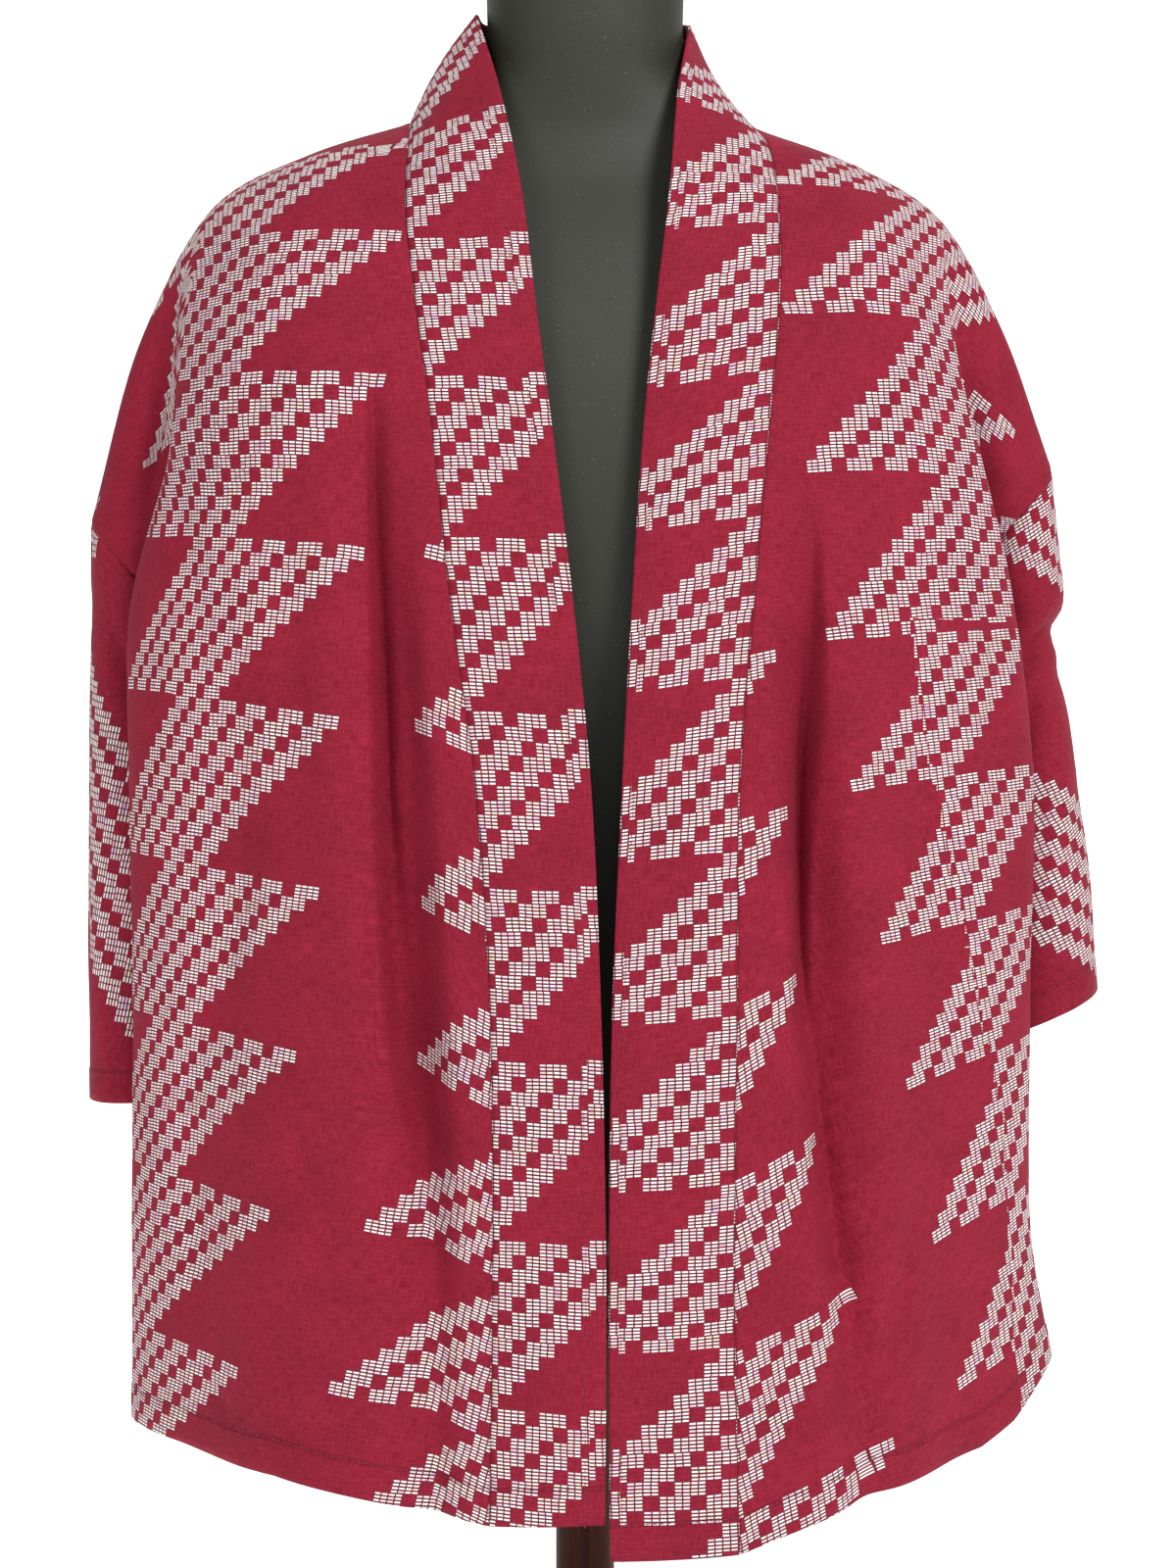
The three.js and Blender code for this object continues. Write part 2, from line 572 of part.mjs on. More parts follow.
/** Closed stack of superellipse sections with flat ends. */
function formGeometry() {
  const positions = [];
  for (const { z, wide, front, back } of FORM_SECTIONS) {
    for (let k = 0; k < FORM_SIDES; k += 1) {
      const angle = (2 * Math.PI * k) / FORM_SIDES;
      const cos = Math.cos(angle);
      const sin = Math.sin(angle);
      const power = z < NECK_FROM ? TORSO_SQUARENESS : NECK_SQUARENESS;
      const reach = (Math.abs(cos) ** power + Math.abs(sin) ** power) ** (-1 / power);
      positions.push(wide * reach * cos, (sin < 0 ? front : back) * reach * sin, z);
    }
  }
  const last = FORM_SECTIONS.length - 1;
  const foot = positions.length / 3;
  const crown = foot + 1;
  positions.push(0, 0, FORM_BOTTOM);
  positions.push(0, 0, FORM_SECTIONS[last].z);
  const faces = [];
  for (let k = 0; k < FORM_SIDES; k += 1) {
    const next = (k + 1) % FORM_SIDES;
    for (let level = 0; level < last; level += 1) {
      const low = level * FORM_SIDES;
      const high = low + FORM_SIDES;
      faces.push(low + k, low + next, high + next, low + k, high + next, high + k);
    }
    faces.push(foot, next, k);
    faces.push(crown, last * FORM_SIDES + k, last * FORM_SIDES + next);
  }
  return solidGeometry(positions, faces);
}

function latheSolid(profile) {
  const geometry = new THREE.LatheGeometry(profile.map(([r, z]) => new THREE.Vector2(r, z)), STAND_SIDES);
  return geometry.rotateX(Math.PI / 2);
}

function baseGeometry() {
  const { radius, thick, edge, bossRadius, bossHeight } = BASE;
  return latheSolid([
    [0, 0], [radius - edge, 0], [radius, edge], [radius, thick - edge], [radius - edge, thick],
    [bossRadius + edge, thick + edge / 2], [bossRadius, thick + 2 * edge], [bossRadius, bossHeight - edge],
    [bossRadius - edge, bossHeight], [0, bossHeight],
  ]);
}

function poleGeometry() {
  const length = FORM_BOTTOM + RISE - BASE.bossHeight - 2 * TOUCH_GAP;
  const geometry = new THREE.CylinderGeometry(POLE_RADIUS, POLE_RADIUS, length, STAND_SIDES);
  geometry.rotateX(Math.PI / 2);
  return geometry.translate(0, 0, BASE.bossHeight + TOUCH_GAP + length / 2);
}

// ------------------------------------------------------------------------ the model

const model = new THREE.Group();

function addPiece(name, geometry, material, lift = 0) {
  const mesh = new THREE.Mesh(geometry, material);
  mesh.name = name;
  mesh.position.z = lift;
  model.add(mesh);
}

const panels = makePanels();
foldPanels(panels);
const normalAt = sharedNormals(panels);
for (const [name, panel] of Object.entries(panels)) {
  addPiece(name, wallGeometry(panel, normalAt), crimsonCloth(), RISE);
}
addPiece("dress_form", formGeometry(), formSkin, RISE);
addPiece("stand_pole", poleGeometry(), wood);
addPiece("stand_base", baseGeometry(), darkSteel);

export default model;
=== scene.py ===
"""Haori jacket on a limbless dress form: woven panels, sewing, form, stand and stage."""

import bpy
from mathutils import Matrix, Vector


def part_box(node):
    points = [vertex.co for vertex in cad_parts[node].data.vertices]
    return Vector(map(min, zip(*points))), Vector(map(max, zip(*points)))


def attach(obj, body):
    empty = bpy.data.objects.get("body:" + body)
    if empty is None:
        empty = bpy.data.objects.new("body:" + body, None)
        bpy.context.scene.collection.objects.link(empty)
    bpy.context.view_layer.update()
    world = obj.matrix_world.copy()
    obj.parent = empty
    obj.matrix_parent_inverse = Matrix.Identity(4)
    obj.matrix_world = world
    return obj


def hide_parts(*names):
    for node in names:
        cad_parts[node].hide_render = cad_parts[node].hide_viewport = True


bl_info = {
    "name": "Haori Jacket on a Dress Form",
    "version": (1, 0, 0),
    "blender": (4, 5, 0),
    "location": "View3D > Sidebar > Haori",
    "description": "Builds the woven jacket, its sewing, the dress form, the stand and the stage",
    "category": "Add Mesh",
}

import bpy
import numpy as np
from bpy.props import FloatProperty, FloatVectorProperty, IntProperty, PointerProperty
from mathutils import Vector

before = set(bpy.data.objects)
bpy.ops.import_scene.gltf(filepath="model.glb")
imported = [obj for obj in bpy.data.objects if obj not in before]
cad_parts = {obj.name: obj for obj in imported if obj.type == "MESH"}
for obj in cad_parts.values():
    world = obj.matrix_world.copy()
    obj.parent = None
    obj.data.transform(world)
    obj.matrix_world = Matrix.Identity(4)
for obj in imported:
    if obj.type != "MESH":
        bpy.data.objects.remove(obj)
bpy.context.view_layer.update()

MM = 0.001
FAR = 1e3  # millimetres, farther than any distance on the cloth
RIGHT = -1  # the wearer's right side
LEFT = 1  # the wearer's left side
SIDE_NAMES = {RIGHT: "right", LEFT: "left"}

# ------------------------------------------------------------------ the jacket's shape
# The tables are in millimetres and count heights from the same place as the form's. A
# point is out from the centre, y and z.

# Guide rows of the fronts from the shoulder line to the hem: the edge sewn to the
# neckband, the middle of the chest, the turn to the side, the dip behind it, and the
# sleeve seam down to the underarm with the side seam below it.
FRONT_GUIDES = {
    RIGHT: [
        [(95, 5, 826), (150, 2, 808), (203, 2, 780), (242, 6, 711), (273, 12, 606)],
        [(94, -45, 800), (150, -42, 788), (205, -28, 759), (240, -16, 701), (271, -4, 603)],
        [(92, -88, 752), (152, -86, 745), (209, -46, 722), (231, -26, 680), (267, -16, 597)],
        [(85, -110, 700), (152, -106, 696), (213, -54, 682), (218, -30, 655), (258, -25, 588)],
        [(76.5, -120, 640), (155, -112, 637), (220, -54, 628), (213, -28, 612), (243, -25, 572)],
        [(68, -124, 560), (155, -112, 558), (240, -48, 555), (220, -22, 550), (214, 10, 545)],
        [(54.5, -128, 460), (152, -110, 460), (242, -44, 460), (211, -8, 460), (204, 20, 460)],
        [(47, -131, 350), (150, -112, 350), (241, -40, 350), (212, -4, 350), (206, 22, 350)],
        [(45.5, -134, 220), (150, -114, 220), (243, -32, 220), (229, 0, 220), (218, 28, 220)],
        [(47, -137, 96), (152, -116, 115), (244, -24, 118), (240, 6, 117), (230, 34, 113)],
    ],
    LEFT: [
        [(89, 4, 824), (146, 2, 802), (193, 2, 774), (228, 6, 716), (257, 12, 636)],
        [(98, -45, 798), (148, -42, 785), (195, -28, 755), (225, -16, 706), (256, -4, 632)],
        [(100, -86, 750), (149, -85, 744), (193, -46, 722), (215, -26, 685), (253, -16, 624)],
        [(98, -108, 698), (149, -105, 695), (198, -54, 681), (205, -31, 660), (243, -26, 613)],
        [(92, -119, 638), (150, -111, 636), (212, -54, 627), (204, -29, 618), (228, -26, 597)],
        [(85, -123, 560), (150, -112, 558), (226, -48, 558), (211, -22, 556), (206, 10, 556)],
        [(77, -127, 460), (150, -110, 460), (238, -44, 460), (206, -8, 460), (197, 20, 460)],
        [(75.5, -130, 350), (150, -112, 350), (237, -40, 350), (209, -4, 350), (201, 22, 350)],
        [(74, -133, 215), (151, -113, 217), (239, -32, 220), (226, 0, 222), (215, 28, 222)],
        [(76, -137, 82), (152, -110, 103), (251, -24, 150), (247, 6, 140), (233, 34, 122)],
    ],
}
UNDERARM_ROW = 5  # guide row where the sleeve seam ends and the side seam starts

# Guide rows of one half of the back below the shoulder line: the centre back, the
# shoulder blade, its middle, turn, dip and, down to the underarm, the sleeve seam.
BACK_GUIDES = [
    [(0, 96, 805), (95, 50, 806), (150, 46, 790), (202, 32, 758), (238, 28, 700), (271, 30, 603)],
    [(0, 108, 755), (92, 92, 752), (150, 84, 745), (206, 52, 722), (233, 44, 680), (267, 52, 597)],
    [(0, 116, 700), (92, 112, 698), (152, 106, 694), (212, 78, 682), (223, 64, 655), (259, 76, 588)],
    [(0, 120, 640), (92, 118, 638), (155, 114, 636), (216, 98, 628), (216, 82, 612), (244, 94, 573)],
    [(0, 122, 560), (92, 121, 560), (155, 118, 558), (224, 112, 555), (216, 76, 551)],
    [(0, 124, 460), (92, 123, 460), (155, 121, 460), (230, 112, 460), (208, 70, 460)],
    [(0, 127, 350), (92, 126, 350), (156, 124, 350), (234, 114, 350), (212, 72, 350)],
    [(0, 130, 220), (93, 130, 220), (158, 128, 220), (238, 116, 220), (230, 76, 220)],
    [(0, 134, 110), (94, 134, 110), (160, 131, 110), (242, 118, 109), (242, 80, 108)],
]
LEFT_INSET = 9  # the back hangs closer to the body on the wearer's left
LEFT_INSET_FROM = 150
LEFT_INSET_TO = 240
LEFT_SLEEVE_EDGE = (-15, 0, 26)  # and its sleeve seam is further in and higher

# Height of the front hem from the neckband to the turn: out and z.
HEM = {
    RIGHT: [(47, 96), (100, 105), (155, 114), (200, 115), (244, 118)],
    LEFT: [(76, 82), (116, 94), (146, 103), (181, 110), (208, 115), (226, 125), (242, 141), (251, 150)],
}

# Neckband from the centre back round the neck, then down the front.
NAPE_SEAM = [(0, 88, 840), (55, 74, 838), (84, 42, 832)]
NAPE_FREE_EDGE = [(0, 74, 900), (40, 62, 897), (57, 32, 888)]
BAND_FREE_EDGE = {
    RIGHT: [
        (60, -2, 882), (46, -58, 826), (33, -95, 762), (26, -112, 705), (18, -120, 644),
        (8, -126, 562), (-2, -130, 461), (-7, -134, 350), (-9.5, -138, 219), (-9, -141, 98),
    ],
    LEFT: [
        (58, -2, 874), (50, -58, 826), (44, -93, 762), (37, -110, 704), (30.5, -119, 642),
        (25, -125, 562), (19.5, -129, 461), (14.6, -133, 350), (12.8, -137, 216), (13.5, -141, 80),
    ],
}
BAND_BULGE = 2.5  # the folded band stands off the line between its two edges
SHOULDER_BULGE = {RIGHT: 4, LEFT: -2.5}  # where it passes the shoulder line
SHOULDER_BULGE_REACH = 2.5  # guide rows before and after that over which it returns
BAND_THICK = 2.2
BAND_EDGE_STEPS = 6  # round the folded edge

# Sleeve sections below the seam: mean height, lift of the outer side, inner and outer
# distance out, front and back y.
SLEEVE_SECTIONS = {
    RIGHT: [
        (545, 17, 222, 275, -24, 102),
        (500, 6, 222, 276, -24, 104),
        (430, 0, 221, 277, -24, 106),
        (357, 0, 223, 277, -23, 107),
        (287, 0, 226, 276, -20, 108),
    ],
    LEFT: [
        (558, 22, 216, 265, -24, 100),
        (540, 13, 217, 266, -24, 101),
        (524, 10, 217, 262, -23, 102),
        (488, 8, 217, 270, -24, 103),
        (410, 7, 218, 281, -24, 106),
        (333, 15, 220, 286, -23, 108),
    ],
}
SLEEVE_SQUARENESS = 2.5  # power of the superellipse of a section

# Main folds as lines in the front view: top (x, z), foot (x, z), width, depth in the
# upper half and depth at the foot.
FOLDS = {
    "front_right": [
        ((-103, 665), (-73, 90), 14, 16, 7),
        ((-178, 560), (-205, 110), 24, 5, 5),
    ],
    "front_left": [
        ((98, 625), (143, 95), 13, 16, 6),
        ((160, 560), (196, 110), 22, 4, 4),
    ],
    "back": [
        ((-168, 690), (-190, 108), 24, 7, 7),
        ((-88, 660), (-104, 108), 22, 6, 8),
        ((-14, 620), (-20, 108), 26, 5, 6),
        ((66, 680), (70, 108), 22, 7, 8),
        ((150, 650), (168, 108), 24, 6, 6),
    ],
}
FOLD_RISE = 0.3  # share of a fold's length over which it grows to full depth
FOLD_EASE = 0.5  # share of its length after which it changes to the foot's depth
SEAM_CALM = 28  # folds fade out within this distance of a seam

CREASE_STEPS = 15  # straight steps along a crease
CREASE_LIP = 0.7  # height of the lips beside it
CREASE_END = 0.02  # share of its length left out at each end
CREASE_SWELL = 0.7  # power of the rise and fall along it
FRONT_HALF = 20  # creases seen from the front reach this far behind the panel's axis

# Creases: points as (x, z), or as (y, z) in SIDE_CREASES, width and depth. A negative
# depth is a ridge. Two widths are those towards the wearer's right and left.
CREASES = {
    "front_right": [
        ([(-107, 672), (-105, 560), (-103, 450), (-99, 370), (-92, 300)], (3, 8), 14),
        ([(-96, 450), (-90, 360), (-84, 290), (-72, 200)], (7, 26), 8),
        ([(-80, 610), (-74, 430), (-60, 250)], 11, -1.6),
        ([(-126, 600), (-122, 430), (-106, 240)], 16, -2.4),
        ([(-152, 600), (-147, 520), (-143, 430)], 13, 2.6),
        ([(-172, 430), (-186, 372), (-198, 322)], 15, 3.0),
        ([(-152, 300), (-138, 262), (-122, 224)], 8, 2.2),
        ([(-206, 330), (-208, 262), (-204, 200)], 12, 2.6),
        ([(-198, 152), (-182, 138)], 6, 1.4),
        ([(-128, 735), (-146, 690), (-172, 640)], 14, 1.8),
        ([(-214, 640), (-208, 590), (-196, 540)], 10, 2.0),
        ([(-164, 210), (-152, 168), (-148, 128)], 12, 1.6),
        ([(-218, 730), (-229, 660), (-237, 600)], (12, 4), 7),
    ],
    "front_left": [
        ([(114, 590), (116, 520), (114, 450), (112, 390), (115, 330)], (8, 4), 11),
        ([(112, 400), (118, 320), (130, 240), (142, 170)], (18, 7), 6),
        ([(80, 610), (92, 430), (112, 250)], 10, -1.4),
        ([(122, 600), (132, 430), (152, 250)], 15, -2.4),
        ([(170, 256), (161, 205), (147, 148)], 8, 2.8),
        ([(98, 196), (104, 128)], 14, 2.2),
        ([(109, 610), (98, 578)], 7, 1.5),
        ([(176, 470), (186, 400), (192, 330)], 13, 2.4),
        ([(206, 600), (212, 520), (216, 450)], 10, 2.2),
        ([(210, 176), (224, 160)], 6, 1.3),
        ([(128, 738), (150, 700), (172, 660)], 12, 1.6),
        ([(193, 750), (199, 695), (206, 655), (222, 592)], (4, 12), 7),
    ],
    "back": [
        ([(-196, 700), (-160, 650), (-120, 622)], 14, 2.4),
        ([(190, 705), (150, 660), (112, 640)], 15, 2.2),
        ([(-60, 760), (-46, 700), (-50, 640)], 12, 1.6),
        ([(36, 740), (44, 680), (40, 600)], 13, 1.8),
        ([(-128, 420), (-140, 330), (-132, 240)], 12, -2.0),
        ([(110, 400), (122, 300), (112, 200)], 13, -2.2),
        ([(-58, 300), (-52, 210)], 9, 1.7),
        ([(20, 250), (32, 170)], 9, 1.6),
        ([(-222, 330), (-216, 240)], 10, 2.0),
        ([(212, 360), (216, 250)], 10, 2.2),
    ],
    "sleeve_right": [
        ([(-268, 560), (-246, 520), (-234, 470)], 9, 2.6),
        ([(-264, 604), (-252, 590), (-236, 574)], 5, 5),
        ([(-262, 450), (-256, 380), (-258, 320)], 10, 2.0),
    ],
    "sleeve_left": [
        ([(270, 552), (250, 540), (228, 524)], 9, 8),
        ([(262, 572), (246, 560), (232, 552)], 9, -3),
        ([(252, 520), (236, 490), (230, 440)], 9, 3.4),
        ([(272, 470), (266, 410), (270, 350)], 10, 1.8),
    ],
    "neckband_right": [
        ([(-10, 152), (-26, 138), (-36, 140)], 5, 1.2),
        ([(-14, 138), (-30, 128)], 4, 0.9),
        ([(-50, 762), (-66, 724)], 8, 1.2),
    ],
    "neckband_left": [
        ([(18, 184), (34, 172)], 4, 1.0),
        ([(22, 172), (38, 166)], 3.5, -0.7),
        ([(58, 770), (76, 724)], 8, 1.2),
    ],
}
SIDE_CREASES = {
    "sleeve_right": [
        ([(10, 560), (30, 480), (26, 390)], 13, 3.4),
        ([(72, 540), (60, 430), (66, 330)], 12, 3.0),
        ([(-4, 400), (6, 320)], 8, 1.8),
    ],
    "sleeve_left": [
        ([(0, 520), (34, 528), (70, 524)], 8, 2.8),
        ([(20, 480), (36, 420), (30, 360)], 13, 3.2),
        ([(78, 500), (64, 420)], 11, 2.6),
    ],
}
RIPPLE = 0.35  # height of the cloth's own unevenness
RIPPLE_SIZES = (90, 55, 34, 20)
RIPPLE_WAVES = 3  # of each size
RIPPLE_STRETCH = (1.0, 1.0, 0.45)  # they run rather up and down
HEM_DEPTH = 18  # the hem is turned up and stitched this far above its edge
CUFF_DEPTH = 15
HEM_STEP = 0.5  # the turned cloth stands this far out
HEM_EASE = (-3, 1)  # where that starts and ends, from the line of stitches
SEAM_ROLL_WIDTH = 3  # a sewn edge turns in over this width, by half the cloth's thickness

# Side seam of the wearer's left front, which is pulled round to the front: out and z.
SIDE_SEAM = [(163, 545), (170, 494), (183, 433), (195, 382), (204, 341), (217, 290), (227, 144)]

# ------------------------------------------------------------------------ the weave

CELL = 7.1  # side of one block of the pattern, in millimetres of cloth
ROWS_IN_REPEAT = 12
COLUMNS_IN_REPEAT = 35
FIRST_FILLED = 10.9  # column where a tooth starts in row 0, less 0.1 against rounding
TEETH_HEIGHT = CELL * ROWS_IN_REPEAT

# Grain of the fronts, one row for each tooth: z and out of its tip, the neckband's seam
# in columns of the pattern, and how much the weft drops towards the centre outside and
# inside the main fold.
GRAIN = {
    RIGHT: [
        (742, 93, 28.2, 0.03, 0.05),
        (665, 102, 30.5, 0.06, 0.10),
        (578, 109, 36.3, 0.10, 0.25),
        (494, 121.5, 39.4, 0.14, 0.40),
        (408, 131.5, 40.7, 0.15, 0.48),
        (327, 143.5, 42.1, 0.14, 0.50),
        (246, 157, 43.9, 0.16, 0.47),
        (164, 174.5, 46.3, 0.14, 0.37),
    ],
    LEFT: [
        (696, 101, -0.35, 0.035, 0.05),
        (615, 110, -4.0, 0.045, 0.10),
        (531, 121, -8.8, 0.11, 0.20),
        (456, 134, -11.0, 0.15, 0.24),
        (379, 149, -11.9, 0.21, 0.42),
        (305, 163, -13.4, 0.33, 0.48),
        (225, 178, -15.5, 0.38, 0.46),
        (147, 193, -17.3, 0.38, 0.38),
    ],
}
TIP_COLUMN = {RIGHT: 28, LEFT: 0}  # pattern column at the tips of GRAIN
FOLD_HIDES = 11  # half width of the strip where the main fold hides some of the pattern
HIDDEN_STRIP = {  # z and out of the middle of that strip
    RIGHT: [(665, 104), (560, 104), (450, 102), (404, 101), (317, 106), (90, 106)],
    LEFT: [(625, 105), (520, 112), (450, 113), (390, 115), (330, 120), (265, 128), (95, 143)],
}
EVEN_BELOW = {RIGHT: (272, 297), LEFT: (0, 1)}  # none below the first height, all above the second
ARM_DROP = 0.6  # how the weft falls down the arm beyond the turn
ARM_FROM = 560
ARM_TO = 650
ARM_TUCK = 14  # width of the tuck between the front and the arm
ARM_SHIFT = {RIGHT: 3, LEFT: 0}  # columns of the pattern hidden in it

# Grain of the neckband: heights where a row of teeth starts, and the pattern's columns
# at the seam and at the free edge.
BAND_TEETH = {
    RIGHT: [737, 664, 583, 496, 409, 324, 236, 154],
    LEFT: [667, 594, 513, 427, 346, 263, 183, 98],
}
BAND_COLUMNS = {RIGHT: (16.4, 24.5), LEFT: (12, 4)}
BAND_DROP = {RIGHT: (0.02, 0.06), LEFT: (-0.18, -0.02)}  # towards +X, at the top and the foot
BAND_STRIP = {RIGHT: 9, LEFT: 5}  # width of the topstitched strip along the free edge
STRIP_SHIFT = 0.45 * CELL
SIDE_SHIFT = 7.8 * CELL  # of the pattern beyond the side seam, across
# The cloth is fuller towards the side: how many more millimetres of it lie there at first,
# how far from the tips that starts, and the distance over which it grows by its square.
SIDE_FULLNESS = {RIGHT: (56, 40, 103), LEFT: (0, 40, 103)}
STRAIGHT = ROWS_IN_REPEAT * COLUMNS_IN_REPEAT  # rows of a pattern that never starts anew

# Grain of the sleeves: direction of the weft in degrees seen from outside, 1 or -1 where
# the pattern is mirrored, a height on the sleeve's front, the pattern's column and row
# there, and the rows of a tooth.
SLEEVE_GRAIN = {
    RIGHT: (-101.5, 1, 486, 5.5, 5.5, ROWS_IN_REPEAT),
    LEFT: (204, -1, 374, 14, 14, STRAIGHT),
}
SLEEVE_TUCK = {RIGHT: (600, 0), LEFT: (540, 3)}  # height of a tuck and columns hidden in it
SLEEVE_TUCK_REACH = 6
BACK_GRAIN = (14, 5)  # pattern column at the centre back and row at the neck

# ------------------------------------------------------------------------- sampling

ROWS_BETWEEN = (10, 10, 10, 12, 14, 20, 22, 26, 26)  # cloth rows between guide rows
NAPE_ROWS = (7, 7, 7)
ACROSS_BETWEEN = (84, 44, 24, 20)  # columns between guide columns
BACK_ACROSS_BETWEEN = (54, 38, 24, 20)
EDGE_COLUMNS = (0.015, 0.05, 3.91, 3.97)  # more columns beside the seams
SEAM_PULL = 0.3  # share of the first span over which points follow the neckband's seam
EDGE_PULL = 0.6  # share of the last span over which they follow the outer edge
BAND_ACROSS = 16
SLEEVE_ROWS = {RIGHT: (12, 9, 14, 15, 16), LEFT: (10, 5, 4, 8, 16, 18)}


def steps(counts):
    """Even steps from one guide to the next."""
    spans = [k + np.arange(1, count + 1) / count for k, count in enumerate(counts)]
    return np.concatenate([[0.0], *spans])


ROWS = steps(ROWS_BETWEEN)
SLEEVE_EDGE_ROWS = sum(ROWS_BETWEEN[:UNDERARM_ROW])
NAPE_STEPS = sum(NAPE_ROWS)
BAND_ROWS = steps(NAPE_ROWS + ROWS_BETWEEN)
ACROSS = np.union1d(steps(ACROSS_BETWEEN), EDGE_COLUMNS)
BACK_ACROSS = np.union1d(steps(BACK_ACROSS_BETWEEN), EDGE_COLUMNS)

# ------------------------------------------------------------ dress form and stand

# Dress form, from the flat underside up: z, half width, depth in front and behind.
FORM_SECTIONS = [
    (217, 132, 80, 74), (220, 141, 88, 82), (228, 147, 94, 88), (244, 149, 97, 91),
    (300, 148, 98, 92), (350, 140, 95, 88), (400, 130, 90, 82), (450, 130, 92, 82),
    (500, 140, 99, 88), (550, 152, 106, 95), (600, 162, 108, 100), (650, 168, 104, 101),
    (700, 173, 92, 94), (740, 176, 74, 78), (762, 172, 62, 66), (780, 154, 52, 58),
    (796, 125, 46, 54), (810, 98, 43, 53), (824, 76, 43, 54), (842, 58, 45, 56),
    (862, 54, 48, 58), (912, 54, 49, 59), (924, 50, 45, 55), (930, 40, 36, 44),
]
TORSO_SQUARENESS = 2.3
NECK_SQUARENESS = 2
NECK_FROM = (760, 800)
FORM_SIDES = 120
FORM_STEPS = 4
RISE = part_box("dress_form")[0].z / MM - FORM_SECTIONS[0][0]  # of the tables above the floor

STAND_SIDES = 96
POLE_GROOVES = 3
BASE_EDGE = 4
BASE_THICK = 15
BOSS_RADIUS = 30
BOSS_FILLET = 8
EDGE_STEPS = 6
ALMOST = 0.999  # of a turn, so that no two of its points meet
CHAMFER = 1.5
GROOVE_FROM_TOP = 40
GROOVE_PITCH = 9
GROOVE = (1.6, 1.3)  # half width and depth
FORM_SHARP = 0.9  # angles past which an edge stays sharp
STAND_SHARP = 0.6
STITCH_SEED = 3
STITCH_HEIGHT = 0.8  # of a stitch's middle above the middle of the cloth

# Backdrop in metres: from in front of the camera, back to a bend and up.
BACKDROP_START = -6.0
BACKDROP_DEPTH = 3.2
BACKDROP_BEND = 1.2
BACKDROP_HEIGHT = 7.0
BACKDROP_STEPS = 12
CAMERA_PLACE = (1.6, 460)  # x, and height in the tables
LIT_HEIGHT = 500  # the lamps point at this height in the tables

COTTON = "handwoven_cotton_with_supplementary_weft"
SEWING_THREAD = "spun_polyester_sewing_thread"

# --------------------------------------------------------------------------- colours


def from_hex(code):
    """Linear RGB of an sRGB colour."""
    channels = [((code >> shift) & 255) / 255 for shift in (16, 8, 0)]
    return tuple(c / 12.92 if c <= 0.04045 else ((c + 0.055) / 1.055) ** 2.4 for c in channels)


def opaque(colour):
    return (*colour, 1.0)


def paint(code):
    """Opaque linear colour of an sRGB colour."""
    return opaque(from_hex(code))


# ------------------------------------------------------------------------- settings


class HaoriClothSettings(bpy.types.PropertyGroup):
    """Sizes and colours of the cloth."""

    thickness: FloatProperty(
        name="Cloth Thickness", description="Thickness of one layer", default=1.1 * MM, unit="LENGTH"
    )
    crease: FloatProperty(
        name="Crease Depth", description="Scale of the creases", default=1.0, subtype="FACTOR"
    )
    ground: FloatVectorProperty(
        name="Ground", description="Crimson of the plain weave", subtype="COLOR",
        default=from_hex(0x7A0A20),
    )
    slub: FloatVectorProperty(
        name="Slub", description="Lighter crimson of the thicker threads", subtype="COLOR",
        default=from_hex(0x98203A),
    )
    thread: FloatVectorProperty(
        name="Pattern Thread", description="Pale thread of the pattern", subtype="COLOR",
        default=from_hex(0xFFF8F9),
    )
    cell: FloatProperty(
        name="Block", description="Side of one block of the pattern", default=CELL * MM, unit="LENGTH"
    )


class HaoriSewingSettings(bpy.types.PropertyGroup):
    """Sizes and colour of the stitches."""

    pitch: FloatProperty(
        name="Stitch Pitch", description="From one stitch to the next", default=3.4 * MM, unit="LENGTH"
    )
    length: FloatProperty(
        name="Stitch Length", description="Length of the thread that shows", default=2.3 * MM, unit="LENGTH"
    )
    thread_width: FloatProperty(
        name="Thread Width", description="Width of the sewing thread", default=0.42 * MM, unit="LENGTH"
    )
    colour: FloatVectorProperty(
        name="Sewing Thread", description="Colour of the sewing thread", subtype="COLOR",
        default=from_hex(0x7A1629),
    )


class HaoriStandSettings(bpy.types.PropertyGroup):
    """Colours of the dress form and its stand."""

    skin: FloatVectorProperty(
        name="Form Skin", description="Charcoal of the form", subtype="COLOR", default=from_hex(0x2B2C23)
    )
    wood: FloatVectorProperty(
        name="Pole Stain", description="Brown of the pole", subtype="COLOR", default=from_hex(0x4A1B0A)
    )
    steel: FloatVectorProperty(
        name="Base Coat", description="Black of the base", subtype="COLOR", default=from_hex(0x1F1F20)
    )


class HaoriStageSettings(bpy.types.PropertyGroup):
    """Lights and camera."""

    key: FloatProperty(
        name="Key Light", description="Power of the main softbox", default=74.0, min=0, unit="POWER"
    )
    fill: FloatProperty(
        name="Fill Light", description="Power of the softbox in front", default=2.0, min=0, unit="POWER"
    )
    ambient: FloatProperty(name="Ambient", description="Light from all round", default=0.1, min=0)
    distance: FloatProperty(
        name="Camera Distance", description="From the centre of the form", default=1.25, unit="LENGTH"
    )
    lens: FloatProperty(
        name="Lens", description="Focal length", default=52.09, subtype="DISTANCE_CAMERA"
    )
    seed: IntProperty(name="Seed", description="Seed of the cloth's unevenness", default=7)


# ------------------------------------------------------------------ splines and grids


